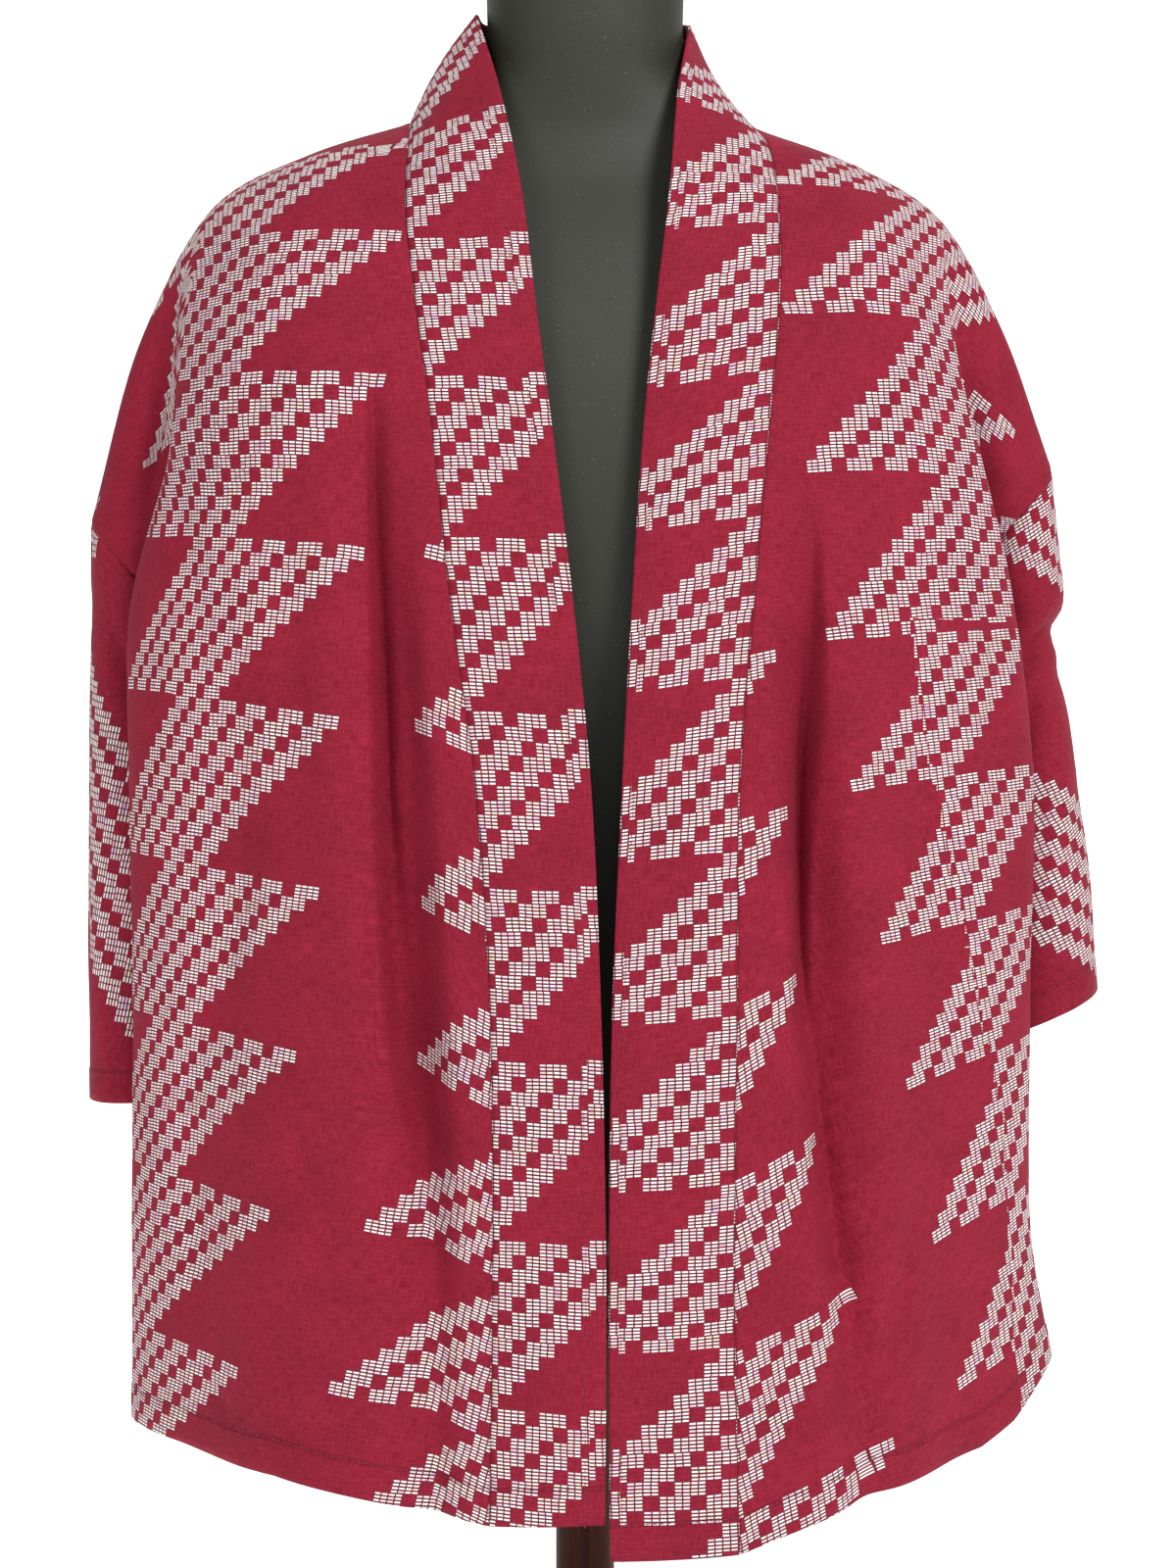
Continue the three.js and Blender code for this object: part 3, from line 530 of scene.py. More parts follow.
def spline(guides, at):
    """Centripetal Catmull-Rom curve through the guides, read at the given places."""
    guides = np.asarray(guides, float)
    before = 2 * guides[0] - guides[1]
    after = 2 * guides[-1] - guides[-2]
    points = np.concatenate([before[None], guides, after[None]])
    at = np.asarray(at, float)
    span = np.clip(at.astype(int), 0, len(guides) - 2)
    t = (at - span).reshape((-1,) + (1,) * (guides.ndim - 1))
    p0, p1, p2, p3 = (points[span + k] for k in range(4))
    d0, d1, d2 = (
        np.sqrt(np.linalg.norm(b - a, axis=-1, keepdims=True)) + 1e-9
        for a, b in ((p0, p1), (p1, p2), (p2, p3))
    )
    start = ((p1 - p0) / d0 - (p2 - p0) / (d0 + d1) + (p2 - p1) / d1) * d1
    end = ((p2 - p1) / d1 - (p3 - p1) / (d1 + d2) + (p3 - p2) / d2) * d1
    square = 3 * (p2 - p1) - 2 * start - end
    cube = 2 * (p1 - p2) + start + end
    return p1 + start * t + square * t**2 + cube * t**3


def smooth(x, low, high):
    """Smooth step from 0 at low to 1 at high."""
    t = np.clip((np.asarray(x, float) - low) / (high - low), 0, 1)
    return t * t * (3 - 2 * t)


def fade(distance, reach):
    """From 1 at no distance to 0 at the reach, fast at first."""
    return np.clip(1 - distance / reach, 0, 1) ** 2


def superellipse(angles, power):
    """Cosine, sine and the distance from the middle at which a superellipse passes."""
    cos, sin = np.cos(angles), np.sin(angles)
    return cos, sin, (np.abs(cos) ** power + np.abs(sin) ** power) ** (-1 / power)


def line_at(x, xs, ys):
    """Straight lines through a table, which go on past its ends."""
    x, xs, ys = (np.asarray(values, float) for values in (x, xs, ys))
    if xs[0] > xs[-1]:
        xs, ys = xs[::-1], ys[::-1]
    k = np.clip(np.searchsorted(xs, x) - 1, 0, len(xs) - 2)
    return ys[k] + (x - xs[k]) * (ys[k + 1] - ys[k]) / (xs[k + 1] - xs[k])


def placed(side, rows):
    """Points of a table with out turned into x."""
    return np.asarray(rows, float) * (side, 1, 1)


def edge_line(guides):
    """The outer edge of a panel, which turns a corner at the underarm."""
    sleeve_seam = spline(guides[: UNDERARM_ROW + 1], steps(ROWS_BETWEEN[:UNDERARM_ROW]))
    side_seam = spline(guides[UNDERARM_ROW:], steps(ROWS_BETWEEN[UNDERARM_ROW:]))
    return np.concatenate([sleeve_seam, side_seam[1:]])


def band_seam_line(side):
    """Edge sewn to the neckband, from the centre back to the hem."""
    nape = placed(side, NAPE_SEAM)
    front = placed(side, FRONT_GUIDES[side])[:, 0]
    return spline(np.concatenate([nape, front]), BAND_ROWS)


def pull_to(grid, column, line, weights):
    """Moves a column of the grid onto a line, and its neighbours less and less."""
    grid += (line - grid[:, column])[:, None, :] * weights[None, :, None]


def front_grid(side):
    guides = placed(side, FRONT_GUIDES[side])
    rows = spline(guides.swapaxes(0, 1), ACROSS).swapaxes(0, 1)
    before_turn = ACROSS <= 2
    hem = rows[-1]
    hem[before_turn, 2] = line_at(side * hem[before_turn, 0], *np.transpose(HEM[side]))
    grid = spline(rows, ROWS)
    pull_to(grid, 0, band_seam_line(side)[NAPE_STEPS:], fade(ACROSS, SEAM_PULL))
    pull_to(grid, -1, edge_line(guides[:, -1]), fade(ACROSS[-1] - ACROSS, EDGE_PULL))
    return grid


def back_half(side):
    """Guide rows of one half of the back, from the centre out, and its outer edge."""
    front = placed(side, FRONT_GUIDES[side])
    neckline = band_seam_line(side)[: NAPE_STEPS + 1]
    rows = [np.concatenate([neckline, spline(front[0], BACK_ACROSS)[1:]])]
    edges = [front[0, -1]]
    neck = 1 + np.arange(NAPE_STEPS) / NAPE_STEPS
    for index, row in enumerate(BACK_GUIDES, 1):
        inner = np.asarray(row[1:5], float)
        edge = front[index, -1]
        if side == LEFT:
            inner[:, 0] -= LEFT_INSET * smooth(inner[:, 0], LEFT_INSET_FROM, LEFT_INSET_TO)
        if index < UNDERARM_ROW:
            edge = placed(side, np.add(row[5], LEFT_SLEEVE_EDGE if side == LEFT else 0))
        edges.append(edge)
        inner = placed(side, inner)
        line = np.array([inner[0] * (-1, 1, 1), row[0], *inner, edge])
        rows.append(spline(line, np.concatenate([neck, 2 + BACK_ACROSS])))
    return np.array(rows), edge_line(np.array(edges))


def back_grid():
    (right, right_edge), (left, left_edge) = back_half(RIGHT), back_half(LEFT)
    grid = spline(np.concatenate([right[:, :0:-1], left], axis=1), ROWS)
    weights = np.zeros(grid.shape[1])
    weights[-len(BACK_ACROSS):] = fade(BACK_ACROSS[-1] - BACK_ACROSS, EDGE_PULL)
    pull_to(grid, -1, left_edge, weights)
    pull_to(grid, 0, right_edge, weights[::-1])
    return grid


def band_grid(side):
    """Neckband half: rows run from the centre back to the hem, columns to the free edge."""
    seam = band_seam_line(side)
    free = spline(placed(side, NAPE_FREE_EDGE + BAND_FREE_EDGE[side]), BAND_ROWS)
    across = np.linspace(0, 1, BAND_ACROSS + 1)[None, :, None]
    grid = seam[:, None] * (1 - across) + free[:, None] * across
    away = smooth(np.abs(BAND_ROWS - len(NAPE_ROWS)), 0, SHOULDER_BULGE_REACH)
    bulge = SHOULDER_BULGE[side] * (1 - away) + BAND_BULGE * away
    outward = grid * (1, 1, 0)
    outward /= np.linalg.norm(outward, axis=-1, keepdims=True)
    return grid + outward * bulge[:, None, None] * np.sin(np.pi * across)


def sleeve_grid(side, front, back):
    """Sleeve tube: every point of its seam runs down at its own angle round the sleeve."""
    last = SLEEVE_EDGE_ROWS
    back_edge = back[1:last, 0 if side == RIGHT else -1]
    seam = np.concatenate([front[: last + 1, -1], back_edge[::-1]])
    lines = [seam]
    reach = None
    for height, tilt, inner, outer, near, far in SLEEVE_SECTIONS[side]:
        middle, half_wide = (inner + outer) / 2, (outer - inner) / 2
        centre, half_deep = (near + far) / 2, (far - near) / 2
        if reach is None:
            angles = np.arctan2((seam[:, 1] - centre) / half_deep, (side * seam[:, 0] - middle) / half_wide)
            cos, sin, reach = superellipse(angles, SLEEVE_SQUARENESS)
        x = side * (middle + half_wide * reach * cos)
        y = centre + half_deep * reach * sin
        lines.append(np.stack([x, y, height + tilt * cos * reach], axis=1))
    return spline(np.array(lines), steps(SLEEVE_ROWS[side]))


# ----------------------------------------------------------------------------- panels


class Panel:
    """One piece of cloth: a grid of points, and what is worked out on it."""

    def __init__(self, name, grid, axis, closed=False, sewn=("top", "start", "end")):
        self.name = name
        self.grid = grid
        self.axis = axis
        self.closed = closed
        self.sewn = sewn

    def normals(self):
        """Unit normals that point away from the wearer."""
        grid = self.grid
        if self.closed:
            across = np.roll(grid, -1, axis=1) - np.roll(grid, 1, axis=1)
        else:
            across = np.gradient(grid, axis=1)
        down = np.gradient(grid, axis=0)
        normal = np.cross(down, across)
        normal /= np.linalg.norm(normal, axis=-1, keepdims=True) + 1e-12
        outward = grid - self.axis(grid)
        return normal * np.sign((normal * outward).sum())

    def outer(self, half_thickness):
        """Points of the outer face. It turns in at sewn edges, where two pieces meet."""
        turned = fade(self.to_sewn(), SEAM_ROLL_WIDTH)
        return self.grid + self.normals() * half_thickness * (1 - turned)[..., None]

    def across_mm(self):
        """Distance along each row from its first point, round to that point on a tube."""
        grid = self.grid
        if self.closed:
            grid = np.concatenate([grid, grid[:, :1]], axis=1)
        return running_length(grid, 1)

    def to_hem(self):
        down = running_length(self.grid, 0)
        return down[-1:] - down

    def to_sewn(self):
        """Distance to the nearest sewn edge."""
        down, across = running_length(self.grid, 0), running_length(self.grid, 1)
        far = np.full(self.grid.shape[:2], FAR)
        parts = {"top": down, "start": across, "end": across[:, -1:] - across}
        for name in self.sewn:
            far = np.minimum(far, parts[name])
        return far


def running_length(grid, axis):
    """Distance along the grid's rows (axis 1) or columns (axis 0) from their start."""
    size = np.linalg.norm(np.diff(grid, axis=axis), axis=-1)
    zero = np.zeros_like(size[:, :1] if axis else size[:1])
    return np.cumsum(np.concatenate([zero, size], axis=axis), axis=axis)


def body_axis(grid):
    return grid * (0, 0, 1)


def sleeve_axis(side):
    _, _, inner, outer, near, far = SLEEVE_SECTIONS[side][2]
    centre = np.array([side * (inner + outer) / 2, (near + far) / 2, 0])
    return lambda grid: grid * (0, 0, 1) + centre


def fold_line(fold, z):
    """x of a main fold at height z, and the share of its length there."""
    (top_x, top_z), (foot_x, foot_z) = fold[:2]
    share = (top_z - z) / (top_z - foot_z)
    return top_x + (foot_x - top_x) * share, share


def fold_depth(panel):
    """Depth of the main folds at every point."""
    x, _, z = np.moveaxis(panel.grid, -1, 0)
    depth = np.zeros_like(z)
    for fold in FOLDS.get(panel.name, []):
        width, deep, foot_deep = fold[2:]
        line, share = fold_line(fold, z)
        deepest = deep + (foot_deep - deep) * smooth(share, FOLD_EASE, 1)
        depth += deepest * smooth(share, 0, FOLD_RISE) * np.exp(-(((x - line) / width) ** 2))
    return depth


def crease_profile(flat, points, width, deep):
    """Depth of one crease: a soft trough with a lip on either side."""
    path = spline(points, np.linspace(0, len(points) - 1, CREASE_STEPS + 1))
    nearest = np.full(flat.shape[:-1], FAR)
    place = np.zeros_like(nearest)
    right_of = np.zeros_like(nearest, bool)
    for k, (a, b) in enumerate(zip(path[:-1], path[1:])):
        along = np.clip(((flat - a) @ (b - a)) / ((b - a) @ (b - a)), 0, 1)
        apart = flat - a - along[..., None] * (b - a)
        far = np.linalg.norm(apart, axis=-1)
        closer = far < nearest
        nearest = np.where(closer, far, nearest)
        place = np.where(closer, (k + along) / CREASE_STEPS, place)
        right_of = np.where(closer, apart[..., 0] < 0, right_of)
    ratio = (nearest / np.where(right_of, *np.broadcast_to(width, 2))) ** 2
    swell = np.sin(np.pi * np.clip(place, CREASE_END, 1 - CREASE_END)) ** CREASE_SWELL
    return deep * swell * (1 - CREASE_LIP * ratio) * np.exp(-ratio)


def crease_depth(panel):
    """Depth of all creases at every point, each on the part of the panel that it is seen on."""
    x, y, z = np.moveaxis(panel.grid, -1, 0)
    middle = panel.axis(panel.grid)
    in_front = (y < middle[..., 1] + FRONT_HALF) | (panel.name == "back")
    outside = np.abs(x) > np.abs(middle[..., 0])
    depth = np.zeros_like(z)
    for creases, across, seen in ((CREASES, x, in_front), (SIDE_CREASES, y, outside)):
        for crease in creases.get(panel.name, []):
            depth += np.where(seen, crease_profile(np.stack([across, z], axis=-1), *crease), 0)
    return depth


def ripples(panel, seed):
    """Slow, uneven waves of the cloth's own, the same each time."""
    random = np.random.default_rng(seed)
    waves = np.zeros(panel.grid.shape[:2])
    for size in RIPPLE_SIZES:
        for _ in range(RIPPLE_WAVES):
            direction = random.normal(size=3) * RIPPLE_STRETCH
            direction *= 2 * np.pi / size / np.linalg.norm(direction)
            waves += np.sin(panel.grid @ direction + random.uniform(0, 2 * np.pi)) * size / RIPPLE_SIZES[0]
    return waves / RIPPLE_WAVES


def shape_panel(panel, settings, seed):
    """Presses folds, creases and the hem into a panel; folds and creases calm down near its sewn edges."""
    calm = smooth(panel.to_sewn(), 0, SEAM_CALM)
    creased = crease_depth(panel) * settings.crease + RIPPLE * ripples(panel, seed)
    panel.grid = panel.grid - panel.normals() * ((fold_depth(panel) + creased) * calm)[..., None]
    turned = CUFF_DEPTH if panel.name.startswith("sleeve") else HEM_DEPTH
    hem = HEM_STEP * (1 - smooth(panel.to_hem(), *np.add(turned, HEM_EASE)))
    panel.grid = panel.grid + panel.normals() * hem[..., None]


# ------------------------------------------------------------------------------ grain


def front_grain(panel, side):
    """Place of every point in the flat cloth: across and down, in millimetres."""
    z_tip, out_tip, seam_column, outer_drop, inner_drop = np.transpose(GRAIN[side])
    x, _, z = np.moveaxis(panel.grid, -1, 0)
    out = np.maximum.accumulate(side * x, axis=1)
    tip = line_at(z, z_tip, out_tip)
    across = panel.across_mm()
    at_tip = np.array([np.interp(0, o - t, s) for o, t, s in zip(out, tip, across)])
    tip_u = TIP_COLUMN[side] * CELL
    u = side * (across - at_tip[:, None]) + tip_u
    # Beyond the tips the cloth is fuller, and beyond the turn lies the arm.
    more, from_tip, reach = SIDE_FULLNESS[side]
    outward = np.maximum(side * (u - tip_u) - from_tip, 0) / reach
    turn = np.searchsorted(ACROSS, 2)
    beyond = np.maximum(across - across[:, turn : turn + 1], 0)
    on_arm = smooth(beyond, 0, ARM_TUCK)
    high = smooth(z, ARM_FROM, ARM_TO)
    u += side * more * outward**2 * (1 - high) * (1 - on_arm)
    u += ARM_SHIFT[side] * CELL * on_arm
    # The main fold hides some of the pattern between the tips and the neckband.
    target = line_at(z[:, :1], z_tip, seam_column) * CELL
    strip_z, strip_out = np.transpose(HIDDEN_STRIP[side])
    inside_fold = 1 - smooth(out - line_at(z, strip_z, strip_out), -FOLD_HIDES, FOLD_HIDES)
    u += (target - u[:, :1]) * inside_fold
    even = tip_u + (target - tip_u) * (tip - out) / (tip - out[:, :1])
    u = np.where(out < tip, even + (u - even) * smooth(z, *EVEN_BELOW[side]), u)
    inward = tip - out
    to_fold = tip - side * fold_line(FOLDS[panel.name][0], z)[0]
    drop = np.interp(z, z_tip[::-1], outer_drop[::-1]) * np.minimum(inward, to_fold)
    drop += np.interp(z, z_tip[::-1], inner_drop[::-1]) * np.maximum(inward - to_fold, 0)
    level = z + drop + ARM_DROP * beyond * high
    v = line_at(level, z_tip, np.arange(len(z_tip)) * TEETH_HEIGHT)
    return u, top_by_length(panel, level, z_tip[0], v)


def top_by_length(panel, level, highest, v):
    """Above the first tooth the cloth runs back over the shoulder, so its length counts."""
    down = running_length(panel.grid, 0)
    for j in range(level.shape[1]):
        above = level[:, j] > highest
        if above.any() and not above.all():
            first = np.argmin(above)
            v[:first, j] = v[first, j] - (down[first, j] - down[:first, j])
    return v


def band_grain(panel, side):
    z_teeth = np.array(BAND_TEETH[side], float)
    x, _, z = np.moveaxis(panel.grid, -1, 0)
    seam, free = BAND_COLUMNS[side]
    share = panel.across_mm() / panel.across_mm()[:, -1:]
    u = (seam + (free - seam) * share) * CELL
    high, low = BAND_DROP[side]
    drop = line_at(z, (z_teeth[0], z_teeth[-1]), (high, low))
    level = z + drop * (x - x[:, :1])
    v = line_at(level, z_teeth, np.arange(len(z_teeth)) * TEETH_HEIGHT)
    return u, top_by_length(panel, level, z_teeth[0], v)


def back_grain(panel):
    column, row = BACK_GRAIN
    across = panel.across_mm()
    u = column * CELL - (across - across[:, across.shape[1] // 2, None])
    return u, row * CELL + running_length(panel.grid, 0)


def sleeve_grain(panel, side):
    weft, mirrored, height, column, row, _ = SLEEVE_GRAIN[side]
    grid = np.concatenate([panel.grid, panel.grid[:, :1]], axis=1)
    front = panel.grid[len(panel.grid) // 2, :, 1].argmin()
    across = panel.across_mm()
    right = side * (across[:, front, None] - across)
    up = grid[..., 2] - height
    cos, sin = np.cos(np.radians(weft)), np.sin(np.radians(weft))
    u = right * cos + up * sin
    v = (right * sin - up * cos) * mirrored
    tuck, hidden = SLEEVE_TUCK[side]
    column = column + hidden * smooth(grid[..., 2], tuck - SLEEVE_TUCK_REACH, tuck + SLEEVE_TUCK_REACH)
    return column * CELL + u, row * CELL + v


# ------------------------------------------------------------------------------ meshes


def metres(points):
    """Points of the tables in the frame's own place, in metres."""
    return (np.asarray(points, float) + (0, 0, RISE)) * MM


def add_to_scene(name, data):
    """Object at the origin that shows the data."""
    item = bpy.data.objects.new(name, data)
    bpy.context.scene.collection.objects.link(item)
    return item


def add_object(name, points, faces, material, sharp=None):
    """Smooth mesh object at the origin, with its place in its points."""
    mesh = bpy.data.meshes.new(name)
    mesh.from_pydata(np.asarray(points).tolist(), [], [tuple(map(int, face)) for face in faces])
    mesh.shade_smooth()
    if sharp is not None:
        mesh.set_sharp_from_angle(angle=sharp)
    mesh.materials.append(material)
    mesh.update()
    return add_to_scene(name, mesh)


def grid_faces(rows, columns, closed):
    """Quads of a grid: the (row, column) of every corner, and its number."""
    i, j = np.meshgrid(np.arange(rows - 1), np.arange(columns if closed else columns - 1), indexing="ij")
    i, j = i.ravel(), j.ravel()
    cells = np.stack([np.stack([i, i + 1, i + 1, i], 1), np.stack([j, j, j + 1, j + 1], 1)], 2)
    return cells, cells[..., 0] * columns + cells[..., 1] % columns


def face_outward(points, faces, normals):
    """Whether the faces look the way that the normals point."""
    a, b, c = (points[faces[:, k]] for k in range(3))
    return (np.cross(b - a, c - a) * normals[faces[:, 0]]).sum() > 0


def hand_over(piece, node=None):
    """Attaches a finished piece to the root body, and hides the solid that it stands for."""
    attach(piece, "root")
    if node:
        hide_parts(node)


def keep_cloth_values(mesh, place, to_hem, to_seam, tooth=ROWS_IN_REPEAT):
    """What the material reads: a UV map in metres of flat cloth, and values at each point."""
    layer = mesh.uv_layers.new(name="cloth")
    layer.data.foreach_set("uv", (np.asarray(place) * MM).astype(np.float32).ravel())
    values = {"to_hem": to_hem * MM, "to_seam": to_seam * MM, "tooth": np.full(to_hem.shape, float(tooth))}
    for name, value in values.items():
        attribute = mesh.attributes.new(name, "FLOAT", "POINT")
        attribute.data.foreach_set("value", value.astype(np.float32).ravel())


def make_cloth(panel, grain, context, shift=None, tooth=ROWS_IN_REPEAT):
    """Object of a panel: its outer face, which a modifier gives its thickness."""
    settings = context.scene.haori_cloth
    rows, columns = panel.grid.shape[:2]
    cells, faces = grid_faces(rows, columns, panel.closed)
    points = metres(panel.outer(settings.thickness / MM / 2)).reshape(-1, 3)
    if not face_outward(points, faces, panel.normals().reshape(-1, 3)):
        faces, cells = faces[:, ::-1], cells[:, ::-1]
    piece = add_object(panel.name + "_cloth", points, faces, shared(COTTON, handwoven_cotton, settings))
    u, v = (part[cells[..., 0], cells[..., 1]] for part in grain)
    if shift is not None:
        moved = shift[cells[..., 0], cells[..., 1] % columns].mean(axis=1) > 0.5
        u = u + moved[:, None] * SIDE_SHIFT
    place = np.stack([u, v], axis=-1)
    keep_cloth_values(piece.data, place, panel.to_hem(), seam_distance(panel), tooth)
    wall = piece.modifiers.new("wall", "SOLIDIFY")
    wall.thickness = settings.thickness
    wall.offset = -1
    hand_over(piece, panel.name)
    return piece


def seam_distance(panel):
    """Distance to the nearest seam, with the side seam that lies on the left front."""
    far = panel.to_sewn()
    if panel.name == "front_left":
        far = np.minimum(far, np.abs(beyond_side_seam(panel)))
    return far


def beyond_side_seam(panel):
    """How far a point of the left front lies beyond its side seam, below the chest."""
    out, z = np.transpose(SIDE_SEAM)
    x = np.maximum.accumulate(panel.grid[..., 0], axis=1)
    height = panel.grid[..., 2]
    return np.where(height < z[0], x - line_at(height, z, out), -FAR)


def make_band(panel, grain, side, context):
    """Neckband: a fold of cloth, closed and rounded along its free edge."""
    settings = context.scene.haori_cloth
    normals = panel.normals()
    half = settings.thickness / MM / 2
    outer = panel.outer(half)
    inner = panel.grid - normals * (BAND_THICK - half)
    across = np.diff(panel.grid[:, -2:], axis=1)
    across /= np.linalg.norm(across, axis=-1, keepdims=True)
    turns = np.linspace(0, np.pi, BAND_EDGE_STEPS + 1)[1:-1]
    middle = (outer[:, -1:] + inner[:, -1:]) / 2
    radius = BAND_THICK / 2
    fold = [middle + across * radius * np.sin(t) + normals[:, -1:] * radius * np.cos(t) for t in turns]
    ring = np.concatenate([outer, *fold, inner[:, ::-1]], axis=1)
    rows, columns = ring.shape[:2]
    count = panel.grid.shape[1]
    cells, faces = grid_faces(rows, columns, True)
    caps = [np.arange(columns), (rows - 1) * columns + np.arange(columns)[::-1]]
    points = metres(ring).reshape(-1, 3)
    reference = np.repeat(normals[:, :1], columns, axis=1).reshape(-1, 3)
    if not face_outward(points, faces[cells[:, 2, 1] < count], reference):
        faces, cells = faces[:, ::-1], cells[:, ::-1]
        caps = [cap[::-1] for cap in caps]
    material = shared(COTTON, handwoven_cotton, settings)
    piece = add_object(panel.name + "_cloth", points, [*faces, *caps], material)
    u, v = (np.repeat(part[:, -1:], columns + 1, axis=1) for part in grain)
    for part, whole in zip(grain, (u, v)):
        whole[:, :count] = part
        whole[:, columns - count : columns] = part[:, ::-1]
        whole[:, columns] = part[:, 0]
    u[:, count : columns - count] += np.sin(turns) * radius * np.sign(u[:, count - 1 : count] - u[:, :1])
    place = np.stack([u, v], axis=-1)[cells[..., 0], cells[..., 1]]
    # The weft of the topstitched strip doesn't meet that of the band.
    width = panel.across_mm()
    strip = (width[:, -1:] - width) < BAND_STRIP[side]
    strip = np.pad(strip, ((0, 0), (0, columns + 1 - count)), constant_values=True)
    strip[:, columns - count :] = False
    on_strip = strip[cells[..., 0], cells[..., 1]].all(axis=1)
    place[on_strip, :, 1] += STRIP_SHIFT
    place = np.concatenate([place.reshape(-1, 2), np.zeros((2 * columns, 2))])
    to_hem, to_seam = (
        np.pad(far, ((0, 0), (0, columns - count)), mode="edge") for far in (panel.to_hem(), panel.to_sewn())
    )
    keep_cloth_values(piece.data, place, to_hem, to_seam)
    hand_over(piece, panel.name)
    return piece


def ring_solid(name, rings, material, sharp):
    """Closed solid of rings of points, upwards, with a point on the axis at each end."""
    rows, sides = rings.shape[:2]
    faces = grid_faces(rows, sides, True)[1][:, ::-1].tolist()
    foot, crown, top = rows * sides, rows * sides + 1, (rows - 1) * sides
    for k in range(sides):
        following = (k + 1) % sides
        faces += [(foot, following, k), (crown, top + k, top + following)]
    points = np.concatenate([rings.reshape(-1, 3), rings[[0, -1], 0] * (0, 0, 1)])
    return add_object(name, points, faces, material, sharp)


def lathe(name, profile, material):
    """Closed solid of revolution from (radius, z) pairs."""
    angles = np.arange(STAND_SIDES) * 2 * np.pi / STAND_SIDES
    circle = np.stack([np.cos(angles), np.sin(angles), np.ones(STAND_SIDES)], axis=1)
    rings = np.array([circle * (radius, radius, z) for radius, z in profile])
    return ring_solid(name, rings * MM, material, STAND_SHARP)


# --------------------------------------------------------------------------- materials


def connect(tree, node, inputs):
    """Sets a node's inputs. An input takes a value, a socket or a node."""
    for key, value in inputs.items():
        if isinstance(value, bpy.types.Node):
            value = value.outputs[0]
        if isinstance(value, bpy.types.NodeSocket):
            tree.links.new(value, node.inputs[key])
        else:
            node.inputs[key].default_value = value


def add(tree, kind, inputs=(), **settings):
    """Adds a node with its settings and inputs."""
    node = tree.nodes.new(kind)
    for name, value in settings.items():
        setattr(node, name, value)
    connect(tree, node, dict(inputs))
    return node


def calc(tree, operation, *values):
    return add(tree, "ShaderNodeMath", enumerate(values), operation=operation)


def remap(tree, value, low=0.0, high=1.0, to=(0.0, 1.0), eased=False):
    """Low becomes the first of to and high the second."""
    ends = {"Value": value, "From Min": low, "From Max": high, "To Min": to[0], "To Max": to[1]}
    kind = "SMOOTHSTEP" if eased else "LINEAR"
    return add(tree, "ShaderNodeMapRange", ends, interpolation_type=kind).outputs[0]


def noise(tree, place, scale, detail=2.0):
    return add(tree, "ShaderNodeTexNoise", {"Vector": place, "Scale": scale, "Detail": detail})


def scaled(tree, vector, factor):
    return add(tree, "ShaderNodeVectorMath", {0: vector, "Scale": factor}, operation="SCALE")


def mixed(tree, factor, none, full):
    """Colour between none, where the factor is 0, and full, where it is 1."""
    ends = {"Factor": factor, "A": none, "B": full}
    return add(tree, "ShaderNodeMix", ends, data_type="RGBA").outputs["Result"]


def bumps(tree, height, distance, strength):
    """Relief of the height given, where 1 stands for the distance in millimetres."""
    return add(tree, "ShaderNodeBump", {"Height": height, "Distance": distance * MM, "Strength": strength})


def kept_value(tree, name):
    """A value that the mesh keeps at each point."""
    return add(tree, "ShaderNodeAttribute", attribute_name=name).outputs["Fac"]


def from_middle(tree, value):
    """Distance from the middle of each whole step."""
    part = calc(tree, "FRACT", value)
    return calc(tree, "ABSOLUTE", calc(tree, "SUBTRACT", part, 0.5))


def own_place(tree):
    """The object's own coordinates."""
    return add(tree, "ShaderNodeTexCoord").outputs["Object"]


def new_material(name):
    """Empty material, its tree and its Principled shader."""
    material = bpy.data.materials.new(name)
    material.use_nodes = True
    tree = material.node_tree
    tree.nodes.clear()
    shader = add(tree, "ShaderNodeBsdfPrincipled")
    add(tree, "ShaderNodeOutputMaterial", {"Surface": shader})
    return material, tree, shader


